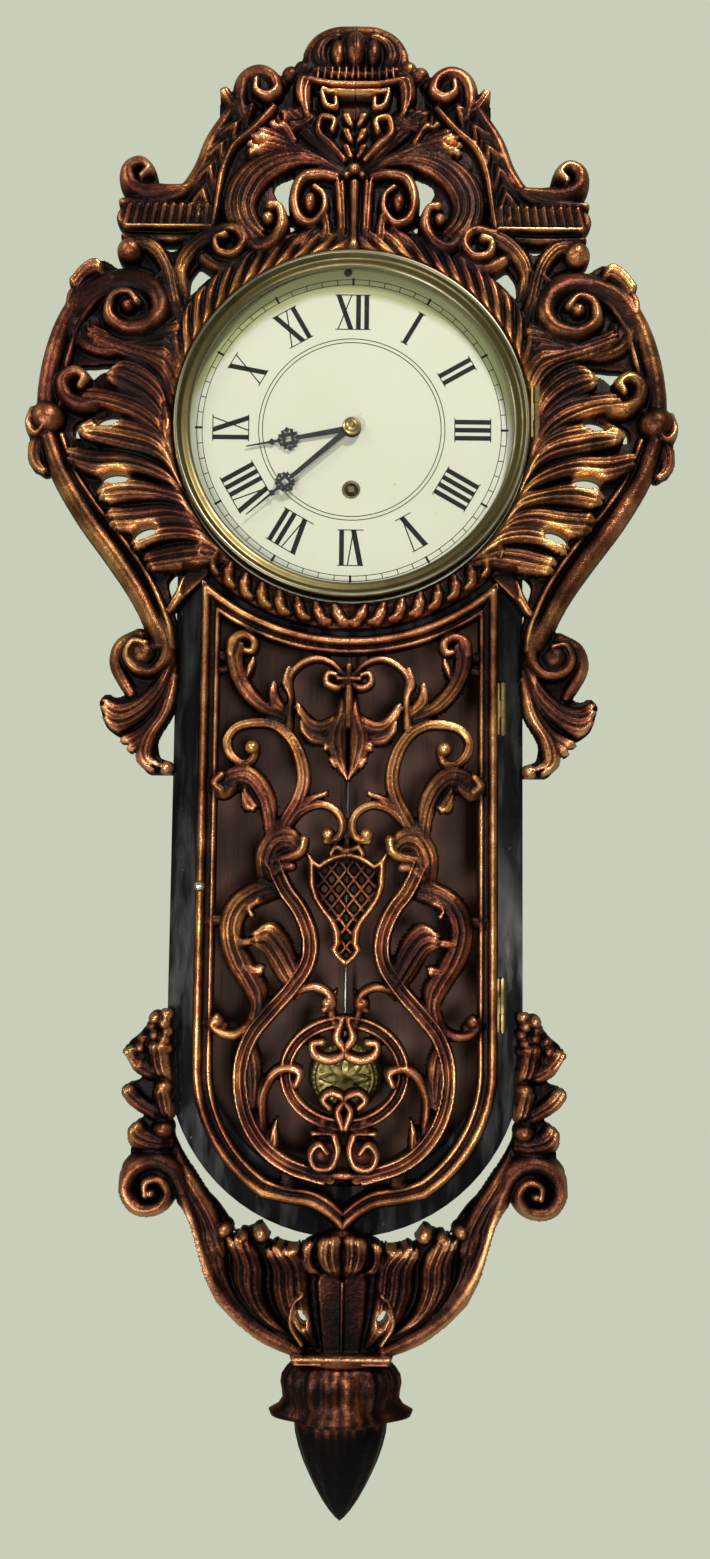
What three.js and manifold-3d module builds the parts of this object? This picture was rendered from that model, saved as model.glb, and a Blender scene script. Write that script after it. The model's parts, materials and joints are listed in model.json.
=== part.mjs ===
// Pendulum wall clock: a wooden case on the wall, a pierced casting round the dial, a pierced cast door
// over the pendulum, a cast bracket with a bud below, and an eight-day movement behind the dial.
// Millimetres, +Z up, front towards -Y. The wall is the plane y = 0, and the origin is on it, behind the
// hand arbor.
import * as THREE from "three";
import { mergeVertices } from "three/addons/utils/BufferGeometryUtils.js";
import Module from "manifold-3d";

const wasm = await Module();
wasm.setup();

// ---- driving dimensions ----
const GAP = 0.3; // between pieces that touch
const BOARD = 12; // back board thickness
const WALL = 10; // case wall thickness
const HEAD_R = 128; // outside of the round head
const TRUNK_HALF = 112; // half the trunk's width
const TRUNK_END_Z = -404; // centre of the trunk's round bottom
const SEAM_X = -5; // joint between the two back boards
const FRAME_FRONT = -82; // front face of the black front frame
const FRAME_BACK = -74;
const CAST_BACK = FRAME_FRONT - GAP; // back of every casting
const CAST_FRONT = -94; // ground of the castings' relief
const RELIEF = -106; // highest relief
const DIAL_FRONT = -84;
const DIAL_R = 116;
const DIAL_SCREW = { x: -3.7, z: 105.5 };
const BEZEL_R = 115.2;
const BEZEL_FRONT = -99;
const RING_IN = 117; // casting's opening round the bezel
const RING_OUT = 134.5;
const WIND_Z = -40.6; // winding arbor below the hand arbor
const HANGER = { half: 14, foot: 100, top: 150, front: -2.8, back: -0.3, eye: 134 };
const CUT = [-120, 1]; // front and back of a cut that goes right through one piece
const HOUR_ANGLE = 259.3; // hands at rest, degrees clockwise from twelve
const MINUTE_ANGLE = 228.8;

const DOOR_HALF = 96;
const DOOR_RAIL = 13; // width of the door's moulded rail
const DOOR_TOP_R = 139; // the door's top edge runs round the dial
const OPENING = { half: 88, top: 145, foot: -397 }; // front frame's trunk opening
const HINGE = { x: 98.8, y: -88, r: 2.2, pin: 0.9, height: 33 };
const HINGE_Z = [-184.5, -371.5];
const BEZEL_HINGE = { x: 119.6, y: -95, r: 2.4, pin: 0.9, height: 34, z: 8 };
const KNOB = { x: -91.5, z: -299 };

const PIVOT_Z = 45; // suspension and verge axis
const ROD_Y = -24;
const ROD_R = 1.25;
const BOB = { z: -427, r: 24, half: 7 };
const PLATE = { half: 36, top: 58, bottom: -72, back: -38, front: -66, t: 2.5 };
const ARBOR = { r: 1.2, hole: 1.6, front: -68.9, back: -35.1 };
const MESH_GAP = 0.2; // each wheel stays this far inside its pitch circle

// ---- materials ----
const finish = (color, roughness, metalness) =>
  new THREE.MeshStandardMaterial({ color, roughness, metalness });
const BRONZED = finish(0x5a2f18, 0.42, 0.6);
const BLACK = finish(0x0c0c0e, 0.3, 0);
const WOOD = finish(0x5b4236, 0.7, 0);
const CREAM = finish(0xe9e6cf, 0.45, 0);
const BRASS = finish(0xa38b4a, 0.35, 0.9);
const STEEL = finish(0x8b8d90, 0.4, 0.9);
const BLUED = finish(0x23242c, 0.4, 0.7);
const GLASS = finish(0xe6eceb, 0.05, 0);

const clock = new THREE.Group();

// ---- shape helpers ----
function toSolid(geometry) {
  const bare = geometry.index ? geometry.toNonIndexed() : geometry.clone();
  bare.deleteAttribute("normal");
  bare.deleteAttribute("uv");
  const merged = mergeVertices(bare, 1e-4);
  const corners = merged.index.array;
  const triVerts = [];
  for (let i = 0; i < corners.length; i += 3) {
    const [a, b, c] = [corners[i], corners[i + 1], corners[i + 2]];
    if (a !== b && b !== c && c !== a) triVerts.push(a, b, c);
  }
  return new wasm.Manifold(
    new wasm.Mesh({
      numProp: 3,
      vertProperties: merged.attributes.position.array,
      triVerts: new Uint32Array(triVerts),
    }),
  );
}

function toGeometry(solid) {
  const mesh = solid.getMesh();
  const geometry = new THREE.BufferGeometry();
  geometry.setAttribute("position", new THREE.BufferAttribute(mesh.vertProperties, 3));
  geometry.setIndex(new THREE.BufferAttribute(mesh.triVerts, 1));
  geometry.computeVertexNormals();
  return geometry;
}

function add(name, solid, material) {
  const mesh = new THREE.Mesh(toGeometry(solid), material);
  mesh.name = name;
  clock.add(mesh);
}

const join = (solids) => solids.reduce((sum, solid) => sum.add(solid));
const cut = (solid, tools) => tools.reduce((rest, tool) => rest.subtract(tool), solid);

// An outline in X and Z, made solid from y0 (front) to y1 (back).
function prism(shape, y0, y1, curveSegments = 12) {
  const geometry = new THREE.ExtrudeGeometry(shape, {
    depth: y1 - y0,
    bevelEnabled: false,
    curveSegments,
  });
  geometry.rotateX(Math.PI / 2);
  geometry.translate(0, y1, 0);
  return toSolid(geometry);
}

function box(x0, x1, y0, y1, z0, z1) {
  const geometry = new THREE.BoxGeometry(x1 - x0, y1 - y0, z1 - z0);
  geometry.translate((x0 + x1) / 2, (y0 + y1) / 2, (z0 + z1) / 2);
  return toSolid(geometry);
}

// A round bar along Y, from y0 to y1, at x and z.
function rodY(r, y0, y1, x = 0, z = 0, sides = 12) {
  const geometry = new THREE.CylinderGeometry(r, r, y1 - y0, sides);
  geometry.translate(x, (y0 + y1) / 2, z);
  return toSolid(geometry);
}

function rodZ(r, z0, z1, x = 0, y = 0, sides = 12) {
  const geometry = new THREE.CylinderGeometry(r, r, z1 - z0, sides);
  geometry.rotateX(Math.PI / 2);
  geometry.translate(x, y, (z0 + z1) / 2);
  return toSolid(geometry);
}

// A turned solid about an axis along Y at height z. The profile's points are [radius, y].
function turned(profile, sides, z = 0) {
  const points = profile.map(([r, y]) => new THREE.Vector2(r, y));
  const geometry = new THREE.LatheGeometry(points, sides);
  geometry.translate(0, 0, z);
  const solid = toSolid(geometry);
  return solid.volume() > 0 ? solid : turned([...profile].reverse(), sides, z);
}

const vectors = (points) => points.map(([x, z]) => new THREE.Vector2(x, z));
const mirrored = (points) => points.map(([x, z]) => [-x, z]).reverse();
const polygon = (points) => new THREE.Shape(vectors(points));
const both = (points) => polygon([...points, ...mirrored(points)]);

// A flat bar of one width along a smooth line through the points, with round ends.
function bar(points, width, y0, y1) {
  const line = new THREE.SplineCurve(vectors(points));
  const count = points.length * 2 - 2;
  const near = [];
  const far = [];
  for (let i = 0; i <= count; i++) {
    const at = line.getPoint(i / count);
    const way = line.getTangent(i / count);
    near.push([at.x - (way.y * width) / 2, at.y + (way.x * width) / 2]);
    far.unshift([at.x + (way.y * width) / 2, at.y - (way.x * width) / 2]);
  }
  return prism(polygon([...near, ...far]), y0, y1);
}

// ---- the wooden case ----
const HEAD_FOOT = Math.acos(TRUNK_HALF / HEAD_R); // where the round head meets the trunk

function caseOutline() {
  const shape = new THREE.Shape();
  shape.absarc(0, 0, HEAD_R, Math.PI + HEAD_FOOT, -HEAD_FOOT, true);
  shape.lineTo(TRUNK_HALF, TRUNK_END_Z);
  shape.absarc(0, TRUNK_END_Z, TRUNK_HALF, 0, -Math.PI, true);
  return shape;
}

function addBackBoards() {
  const far = 600;
  const whole = prism(caseOutline(), -BOARD, 0, 20);
  const { half, foot, top, front } = HANGER;
  const pocket = box(-half - GAP, half + GAP, front - GAP, 1, foot - GAP, top);
  const board = whole.subtract(pocket);
  const left = box(-far, SEAM_X - GAP / 2, -BOARD, 0, -far, far);
  const right = box(SEAM_X + GAP / 2, far, -BOARD, 0, -far, far);
  add("back_board_left", board.intersect(left), WOOD);
  add("back_board_right", board.intersect(right), WOOD);
}

// The hanger is let into the boards' back, and its keyhole stands above the case for the wall hook.
function addHanger() {
  const { half, foot, top, front, back, eye } = HANGER;
  const plate = box(-half, half, front, back, foot, top);
  const hole = rodY(5, ...CUT, 0, eye, 12);
  const neck = box(-2.6, 2.6, ...CUT, eye, eye + 11);
  add("hanger_plate", cut(plate, [hole, neck]), STEEL);
}

function addCaseWalls() {
  const back = -BOARD - GAP;
  const front = FRAME_BACK + GAP;
  const inner = TRUNK_HALF - WALL;
  const top = -HEAD_R * Math.sin(HEAD_FOOT) - GAP;
  const bottom = TRUNK_END_Z + GAP;
  add("case_side_left", box(-TRUNK_HALF, -inner, front, back, bottom, top), BLACK);
  add("case_side_right", box(inner, TRUNK_HALF, front, back, bottom, top), BLACK);
  const hoop = new THREE.Shape();
  hoop.absarc(0, 0, HEAD_R, -HEAD_FOOT, Math.PI + HEAD_FOOT);
  hoop.absarc(0, 0, HEAD_R - WALL, Math.PI + HEAD_FOOT, -HEAD_FOOT, true);
  add("case_head_hoop", prism(hoop, front, back, 16), BLACK);
  const arch = new THREE.Shape();
  arch.absarc(0, TRUNK_END_Z, TRUNK_HALF, Math.PI, 2 * Math.PI);
  arch.absarc(0, TRUNK_END_Z, inner, 2 * Math.PI, Math.PI, true);
  add("case_bottom_arch", prism(arch, front, back, 14), BLACK);
}

function addFrontFrame() {
  const { half, top, foot } = OPENING;
  const lean = Math.asin(half / top);
  const opening = new THREE.Shape();
  opening.absarc(0, 0, top, -Math.PI / 2 - lean, -Math.PI / 2 + lean);
  opening.lineTo(half, foot);
  opening.absarc(0, foot, half, 0, -Math.PI, true);
  const dialHole = rodY(90, ...CUT, 0, 0, 48);
  const board = prism(caseOutline(), FRAME_FRONT, FRAME_BACK, 18);
  const frame = cut(board, [prism(opening, ...CUT, 18), dialHole]);
  const latchNotch = box(-96, -half + 2, ...CUT, KNOB.z - 10, KNOB.z + 10);
  const screwHole = rodY(1.6, ...CUT, DIAL_SCREW.x, DIAL_SCREW.z, 8);
  add("front_frame", cut(frame, [latchNotch, screwHole]), BLACK);
}

// ---- the head casting, left half; the right half mirrors it ----
const HEAD_EDGE = [
  [-8, 272], [-18, 270], [-25, 263], [-28, 250], [-38, 245], [-49, 237], [-56, 244], [-64, 246],
  [-73, 242], [-80, 229], [-88, 226], [-91, 216], [-89, 205], [-97, 189], [-106, 169], [-116, 161],
  [-127, 161], [-134, 173], [-143, 176], [-151, 169], [-150, 153], [-154, 148], [-152, 137],
  [-144, 130], [-153, 126], [-155, 116], [-149, 107], [-138, 106], [-130, 102], [-126, 91],
  [-132, 98], [-147, 102], [-154, 104], [-165, 112], [-177, 104], [-186, 91], [-187, 77],
  [-196, 51], [-202, 18], [-210, 6], [-210, -9], [-206, -26], [-194, -36], [-178, -60],
  [-150, -95], [-134, -120], [-127, -138], [-139, -138], [-149, -148], [-149, -161], [-139, -176],
  [-149, -181], [-154, -176], [-160, -182], [-155, -199], [-146, -206], [-136, -206], [-135, -219],
  [-127, -229], [-114, -229], [-111, -221], [-121, -218], [-122, -206], [-113, -182], [-109, -160],
  [-110, -138], [-114, -118], [-118, -104], [-112, -98], [-103, -92],
];

const HEAD_HOLES = [
  [[-180, 38], [-160, 39], [-148, 40], [-137, 32], [-144, 28], [-154, 35], [-163, 34], [-170, 27]],
  [[-180, 0], [-168, 3], [-164, -3], [-150, -5], [-142, -10], [-148, -17], [-157, -8], [-181, -11]],
  [[-166, -43], [-150, -40], [-141, -41], [-145, -48], [-157, -45]],
  [[-143, -78], [-123, -67], [-121, -73], [-131, -77], [-139, -83]],
  [[-109, 81], [-107, 100], [-98, 112], [-93, 111], [-90, 103], [-101, 93]],
  [[-127, 125], [-110, 126], [-117, 116], [-125, 118]],
  [[-79, 175], [-70, 176], [-77, 169]],
  [[-84, 156], [-80, 157], [-83, 137], [-89, 135]],
  [[-50, 173], [-38, 174], [-41, 163], [-38, 152], [-37, 132], [-47, 130], [-47, 146], [-54, 160]],
];

// Round bosses that stand above the casting's ground: x, z, radius, front.
const HEAD_BOSSES = [
  [-145, 83, 17, -102], [-134, -154, 13, -101], [-145, 117, 9, -100], [-63, 232, 12, -102],
  [-142, 164, 8, -101], [-198, 1, 11, -104], [-83, 126, 9, -102], [-61, 144, 13, -104],
  [-30, 146, 8, -101], [-166, 101, 8, -100],
];

function addHeadCasting() {
  const plate = prism(both(HEAD_EDGE), CAST_FRONT, CAST_BACK);
  const disc = rodY(RING_OUT, CAST_FRONT, CAST_BACK, 0, 0, 72);
  const gadroon = rodY(RING_OUT - 3, CAST_FRONT - 3, CAST_FRONT + 1, 0, 0, 48);
  const crown = rodY(20, RELIEF, CAST_FRONT + 1, 0, 251, 14);
  const bosses = HEAD_BOSSES.flatMap(([x, z, r, front]) => [
    rodY(r, front, CAST_FRONT + 1, x, z, 10),
    rodY(r, front, CAST_FRONT + 1, -x, z, 10),
  ]);
  const holes = HEAD_HOLES.flatMap((points) => [
    prism(polygon(points), ...CUT),
    prism(polygon(mirrored(points)), ...CUT),
  ]);
  const opening = rodY(RING_IN, ...CUT, 0, 0, 60);
  const h = BEZEL_HINGE;
  const pocket = box(112, h.x + 7.9, ...CUT, h.z - h.height / 2 - 2, h.z + h.height / 2 + 2);
  const body = join([plate, disc, gadroon, crown, ...bosses]);
  add("head_casting", cut(body, [...holes, opening, pocket]), BRONZED);
}

// ---- dial and bezel ----
function addDial() {
  const { x, z } = DIAL_SCREW;
  const plate = rodY(DIAL_R, DIAL_FRONT, FRAME_FRONT - GAP, 0, 0, 64);
  const arborHole = rodY(5, ...CUT, 0, 0, 12);
  const windHole = rodY(4.9, ...CUT, 0, WIND_Z, 12);
  const screwHole = rodY(1.6, ...CUT, x, z, 8);
  add("dial_plate", cut(plate, [arborHole, windHole, screwHole]), CREAM);
  const shank = rodY(1.2, DIAL_FRONT - 0.6, -79, x, z, 8);
  const head = rodY(2.6, DIAL_FRONT - 1.6, DIAL_FRONT - GAP, x, z, 10);
  add("dial_screw", shank.add(head), BRASS);
}

// The bezel is a thin spun ring: an upright wall, and a flange that slopes in to the glass.
function addBezel() {
  const back = DIAL_FRONT - 0.4;
  const profile = [
    [BEZEL_R, back], [BEZEL_R, BEZEL_FRONT + 1.5], [114.4, BEZEL_FRONT], [112.5, BEZEL_FRONT],
    [110, -96], [107, -95.5], [104.7, -94], [104.7, -92.6], [108, -93.2], [113.6, -92.5],
    [113.6, back], [BEZEL_R, back],
  ];
  add("bezel_ring", turned(profile, 64), BRASS);
  const rim = { r: 113.2, front: -91.8, back: -89.8 };
  const dome = { r: 103, rise: 6.2 };
  const stations = [0, 30, 55, 80, dome.r];
  const swell = (r) => dome.rise * (1 - (r / dome.r) ** 2);
  const front = stations.map((r) => [r, rim.front - swell(r)]);
  const rear = stations.map((r) => [r, rim.back - swell(r)]).reverse();
  add("bezel_glass", turned([...front, [rim.r, rim.front], [rim.r, rim.back], ...rear], 40), GLASS);
}

// A butt hinge with an upright pin: the fixed leaf holds the end knuckles, the door leaf the middle one.
function hingeParts(h, z) {
  const low = z - h.height / 2;
  const high = z + h.height / 2;
  const third = h.height / 3;
  const knuckle = (z0, z1) => rodZ(h.r, z0, z1, h.x, h.y, 10);
  return {
    low,
    high,
    ends: [[low, low + third - GAP / 2], [high - third + GAP / 2, high]],
    middle: [low + third + GAP / 2, high - third - GAP / 2],
    knuckle,
    bore: rodZ(h.pin + GAP, low - 2, high + 2, h.x, h.y, 8),
    pin: rodZ(h.pin, low - 0.5, high + 0.5, h.x, h.y, 8),
  };
}

// The fixed leaf stands on the front frame between x0 and x1.
function addHinge(names, h, z, [x0, x1], doorLeaf) {
  const parts = hingeParts(h, z);
  const plate = box(x0, x1, CAST_BACK - 1.2, CAST_BACK, parts.low, parts.high);
  const feet = parts.ends.map(([z0, z1]) => box(x0, x1, h.y, CAST_BACK, z0, z1));
  const knuckles = parts.ends.map(([z0, z1]) => parts.knuckle(z0, z1));
  add(names[0], join([plate, ...feet, ...knuckles]).subtract(parts.bore), BRASS);
  const middle = parts.knuckle(...parts.middle);
  add(names[1], join([middle, ...doorLeaf(parts)]).subtract(parts.bore), BRASS);
  add(names[2], parts.pin, STEEL);
}

function addBezelHinge() {
  const h = BEZEL_HINGE;
  const names = ["bezel_case_leaf", "bezel_door_leaf", "bezel_hinge_pin"];
  addHinge(names, h, h.z, [h.x - 0.4, h.x + 6.9], ({ low, high, middle }) => [
    box(BEZEL_R + 0.4, BEZEL_R + 1.6, -97, -88, low, high),
    box(BEZEL_R + 0.4, h.x, h.y - 1, h.y + 1, ...middle),
  ]);
}

// ---- the trunk door ----
// The door's outline, or its opening: a hollow top edge round the dial, straight sides, and a round foot
// that ends in a point.
function railOutline(inset) {
  const half = DOOR_HALF - inset;
  const top = DOOR_TOP_R + inset * 0.85;
  const lean = Math.asin(half / top);
  const foot = -409 - inset * 0.15;
  const turn = Math.acos((inset ? 48 : 50) / half);
  const cusp = inset ? [[-16, -485], [-6, -492], [0, -498]] : [[-21, -495], [-9, -503], [0, -510]];
  const shape = new THREE.Shape();
  shape.absarc(0, 0, top, -Math.PI / 2 + lean, -Math.PI / 2 - lean, true);
  shape.absarc(0, foot, half, Math.PI, Math.PI + turn);
  for (const [x, z] of [...cusp, ...mirrored(cusp.slice(0, -1))]) shape.lineTo(x, z);
  shape.absarc(0, foot, half, 2 * Math.PI - turn, 2 * Math.PI);
  return shape;
}

// Bars of the grille's left half: width, then points.
const GRILLE_BARS = [
  [7, [-44, -190], [-57, -180], [-68, -166], [-73, -153], [-69, -144], [-61, -144]],
  [7, [-86, -154], [-72, -154]],
  [4.5, [0, -158], [-9, -154], [-20, -153], [-31, -157], [-36, -167], [-36, -179], [-42, -194]],
  [6, [-38, -188], [-45, -174], [-42, -161]],
  [7, [-4, -200], [-18, -202], [-28, -197], [-30, -186]],
  [6, [0, -167], [-15, -167]],
  [7, [-60, -213], [-68, -221], [-77, -213], [-76, -203], [-69, -197], [-56, -195], [-42, -200],
    [-33, -213], [-29, -229], [-31, -243], [-38, -257], [-45, -271], [-46, -284], [-41, -296]],
  [9, [-86, -237], [-72, -229], [-59, -230], [-51, -243], [-46, -258], [-45, -271]],
  [8, [-56, -236], [-63, -247]],
  [6, [-38, -264], [-30, -252], [-18, -247], [-7, -249], [-3, -258], [-9, -267]],
  [9, [-41, -296], [-32, -307], [-25, -320], [-22, -334], [-25, -350], [-36, -365], [-49, -380],
    [-59, -394], [-64, -410], [-64, -426], [-60, -443], [-51, -458], [-37, -469], [-18, -475], [1, -476]],
  [8, [-40, -303], [-56, -304], [-68, -311], [-75, -324], [-71, -341], [-62, -357], [-60, -372],
    [-68, -385], [-78, -386]],
  [8, [-86, -322], [-73, -322]],
  [7, [-86, -384], [-76, -384]],
  [6, [-66, -312], [-57, -317]],
  [6, [-73, -330], [-61, -333]],
  [6, [-66, -348], [-54, -352]],
  [9, [-29, -358], [-37, -342], [-41, -332], [-50, -332]],
  [5, [-50, -382], [-42, -368], [-29, -362], [-15, -363], [-9, -369]],
  [7, [-9, -367], [-9, -384]],
  [6, [-53, -455], [-52, -435], [-46, -418], [-36, -411], [-29, -415]],
  [6, [-43, -465], [-45, -452], [-42, -445]],
  [5, [1, -404], [-11, -404], [-16, -400]],
  [6, [1, -432], [-9, -427]],
  [9, [-13, -444], [-13, -458]],
  [8, [-18, -474], [1, -474]],
  [10, [-30, -470], [-30, -486]],
];
// Knobs and volutes: x, z, radius.
const GRILLE_DISCS = [
  [-36, -272, 10], [-9, -370, 5.5], [-13, -463, 8.5], [-66, -212, 4.5], [-16, -401, 3.6],
];
const BUD_EDGE = [[-1, -160], [-6, -172], [-8, -182], [-14, -206], [-9, -222], [-1, -231]];
const SHIELD_EDGE = [
  [-1, -279], [-8, -277], [-16, -282], [-24, -284], [-24, -298], [-19, -311], [-9, -323], [-7, -336],
  [-10, -341], [-1, -349],
];

// The shield's lattice: rows of diamonds, every other row shifted by half a step.
function shieldHoles() {
  const pitch = 9;
  const half = 3.3;
  const holes = [];
  for (let row = 0; row < 7; row++) {
    const z = -289 - (row * pitch) / 2;
    const reach = z > -307 ? 14 : z > -313 ? 9 : 5;
    const first = row % 2 ? -1.5 * pitch : -2 * pitch;
    for (let x = first; x <= -first; x += pitch) {
      if (Math.abs(x) > reach) continue;
      const diamond = polygon([[x - half, z], [x, z + half], [x + half, z], [x, z - half]]);
      holes.push(prism(diamond, ...CUT));
    }
  }
  return holes;
}

function addDoorCasting() {
  const back = CAST_BACK - GAP;
  const front = CAST_FRONT + 2;
  const leaf = prism(railOutline(0), CAST_FRONT, back, 10);
  const pieces = [leaf.subtract(prism(railOutline(DOOR_RAIL), ...CUT, 10))];
  for (const [width, ...points] of GRILLE_BARS) {
    pieces.push(bar(points, width, front, back));
    pieces.push(bar(mirrored(points), width, front, back));
  }
  for (const [x, z, r] of GRILLE_DISCS) {
    pieces.push(rodY(r, front - 2, back, x, z, 12));
    pieces.push(rodY(r, front - 2, back, -x, z, 12));
  }
  for (const z of [-154, -272, -393, -438]) pieces.push(box(-3.5, 3.5, front, back, z - 10, z + 10));
  pieces.push(prism(both(BUD_EDGE), front, back));
  pieces.push(cut(prism(both(SHIELD_EDGE), front, back), shieldHoles()));
  const ring = new THREE.Shape().absellipse(0, -414, 40, 35, 0, 2 * Math.PI);
  ring.holes.push(new THREE.Path().absellipse(0, -414, 33, 28, 0, 2 * Math.PI));
  pieces.push(prism(ring, front, back));
  const mortises = HINGE_Z.map((z) => box(89.5, 99, HINGE.y - 1.3, HINGE.y + 1.3, z - 17, z + 17));
  const knobHole = rodY(2.2, ...CUT, KNOB.x, KNOB.z, 10);
  add("door_casting", cut(join(pieces), [...mortises, knobHole]), BRONZED);
}

function addDoorHinges() {
  const clearEdge = HINGE.x - HINGE.r - GAP;
  ["upper", "lower"].forEach((place, i) => {
    const names = ["case_leaf", "door_leaf", "hinge_pin"].map((piece) => `${place}_${piece}`);
    addHinge(names, HINGE, HINGE_Z[i], [HINGE.x - 1.8, HINGE.x + 1.8], ({ low, high, middle }) => [
      box(90, clearEdge, HINGE.y - 1, HINGE.y + 1, low, high),
      box(90, HINGE.x, HINGE.y - 1, HINGE.y + 1, ...middle),
    ]);
  });
}

// The knob turns a tongue that stands upright in the frame's notch when the door is free to open.
function addLatch() {
  const spindle = rodY(1.8, CAST_FRONT + 1, -72, KNOB.x, KNOB.z, 10);
  const tongue = box(KNOB.x - 2, KNOB.x + 2, -73.2, -70.8, KNOB.z - 8, KNOB.z + 8);
  add("door_latch", spindle.add(tongue), STEEL);
  const collar = rodY(2.2, CAST_FRONT - 2.5, CAST_FRONT - GAP, KNOB.x, KNOB.z, 12);
  const ball = new THREE.SphereGeometry(3.4, 12, 8);
  ball.translate(KNOB.x, CAST_FRONT - 4.8, KNOB.z);
  add("door_knob", collar.add(toSolid(ball)), BRASS);
}

// ---- the bracket and the bud below the case ----
const BRACKET_EDGE = [
  [-108, -448], [-109, -430], [-109, -395], [-109, -376], [-114, -376], [-122, -383], [-128, -391],
  [-137, -398], [-132, -403], [-129, -410], [-125, -419], [-138, -423], [-131, -432], [-122, -439],
  [-131, -448], [-132, -465], [-135, -479], [-134, -487], [-129, -495], [-120, -498], [-111, -496],
  [-103, -489], [-97, -493], [-91, -502], [-87, -515], [-82, -532], [-75, -547], [-64, -559],
  [-49, -571], [-29, -581],
];
const BRACKET_INNER = [
  [-104, -456], [-97, -470], [-88, -485], [-79, -492], [-70, -504], [-67, -514], [-69, -523],
  [-63, -524], [-60, -509], [-52, -507], [-46, -516], [-38, -520], [-26, -522], [-21, -515],
  [-12, -512],
];
const BRACKET_HOLE = [[-25, -553], [-20, -562], [-22, -566], [-28, -565], [-28, -559]];
const NECK = { half: 28.5, depth: 17, y: -83, top: -580, bottom: -588 };

// A solid turned about a vertical axis at y, flattened front to back. The profile's points are [radius, z].
function turnedUpright(profile, flat, y, sides) {
  const points = profile.map(([r, z]) => new THREE.Vector2(r, z));
  const geometry = new THREE.LatheGeometry(points, sides);
  geometry.rotateX(Math.PI / 2);
  geometry.scale(1, flat, 1);
  geometry.translate(0, y, 0);
  return toSolid(geometry);
}

function addBracket() {
  const left = BRACKET_EDGE;
  const inner = BRACKET_INNER;
  const outline = [...left, ...mirrored(left), ...inner.map(([x, z]) => [-x, z]), ...[...inner].reverse()];
  const plate = prism(polygon(outline), CAST_FRONT, CAST_BACK);
  const hole = prism(polygon(BRACKET_HOLE), ...CUT);
  const otherHole = prism(polygon(mirrored(BRACKET_HOLE)), ...CUT);
  const flat = NECK.depth / NECK.half;
  const neckProfile = [[0, NECK.bottom], [NECK.half, NECK.bottom], [NECK.half, NECK.top], [0, NECK.top]];
  const neck = turnedUpright(neckProfile, flat, NECK.y, 24);
  const scrolls = [-119, 119].map((x) => rodY(13, -104, CAST_FRONT + 1, x, -484, 12));
  const shell = rodY(15, -102, CAST_FRONT + 1, 0, -526, 14);
  add("bracket_casting", cut(join([plate, neck, shell, ...scrolls]), [hole, otherHole]), BRONZED);
}

function addFinial() {
  const profile = [
    [0, -684], [4, -681], [11, -671], [19, -656], [25, -641], [28, -629], [31, -622], [41, -623],
    [45, -618], [39, -609], [38, -600], [36, -594], [30, -589], [24, -588.4], [0, -588.4],
  ];
  add("bracket_finial", turnedUpright(profile, 0.52, -82, 28), BRONZED);
}

// ---- the movement: two brass plates with the train between them ----
const CORNERS = [
  ["upper_left", -30, 50], ["upper_right", 30, 50], ["lower_left", -30, -66], ["lower_right", 30, -66],
];
// Where each arbor stands, x and z, and its wheel and pinion: radius, front, back.
const TRAIN = {
  second: { x: 16.94, z: -14.04, wheel: [19, -41, -39.2], pinion: [3.5, -46, -43.5] },
  centre: { x: 0, z: 0, wheel: [19, -50, -48.3], pinion: [3, -41, -39.2], front: -93.2 },
  third: { x: -15.5, z: 15.6, wheel: [16, -56, -54.4], pinion: [3, -50, -48.3] },
  escape: { x: 0, z: 26.24, wheel: [13, -61, -59.8], pinion: [2.8, -56, -54.4] },
};
const GREAT = { r: 28, front: -46, back: -43.5 };
const WIND_R = 2.2; // winding arbor
const MOTION = { x: -14.14, z: -14.14 }; // stud of the minute wheel

function addPlates() {
  const { half, top, bottom, back, front, t } = PLATE;
  const holes = Object.values(TRAIN).map(({ x, z }) => rodY(ARBOR.hole, ...CUT, x, z, 8));
  holes.push(rodY(ARBOR.hole, ...CUT, 0, PIVOT_Z, 8), rodY(WIND_R + 0.4, ...CUT, 0, WIND_Z, 8));
  add("back_plate", cut(box(-half, half, back, back + t, bottom, top), holes), BRASS);
  const frontPlate = cut(box(-half, half, front - t, front, bottom, top), holes);
  const stud = rodY(ARBOR.r, -76.2, front - 1, MOTION.x, MOTION.z, 8);
  add("front_plate", frontPlate.add(stud), BRASS);
  for (const [place, x, z] of CORNERS) {
    add(`pillar_${place}`, rodY(2.6, front + GAP, back - GAP, x, z, 10), BRASS);
    add(`post_${place}`, rodY(4, back + t + GAP, -BOARD - GAP, x, z, 10), WOOD);
  }
}

// A wheel and a pinion fast on one arbor.
function addTrainWheel(name, { x, z, wheel, pinion, front = ARBOR.front }) {
  const disc = ([r, y0, y1], sides) => rodY(r - MESH_GAP, y0, y1, x, z, sides);
  const arbor = rodY(ARBOR.r, front, ARBOR.back, x, z, 8);
  add(name, join([arbor, disc(wheel, 32), disc(pinion, 10)]), BRASS);
}

function addTrain() {
  for (const name of Object.keys(TRAIN)) addTrainWheel(`${name}_wheel`, TRAIN[name]);
  const great = rodY(GREAT.r - MESH_GAP, GREAT.front, GREAT.back, 0, WIND_Z, 40);
  add("great_wheel", great.subtract(rodY(WIND_R + 0.4, ...CUT, 0, WIND_Z, 12)), BRASS);
  const barrel = turned([[6, -63], [6, -47], [20, -47], [20, -63], [6, -63]], 28, WIND_Z);
  add("mainspring", barrel, STEEL);
  const arbor = rodY(WIND_R, -71, ARBOR.back, 0, WIND_Z, 10);
  const square = box(-1.8, 1.8, -84.5, -70, WIND_Z - 1.8, WIND_Z + 1.8);
  add("winding_arbor", arbor.add(square), STEEL);
}

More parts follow.
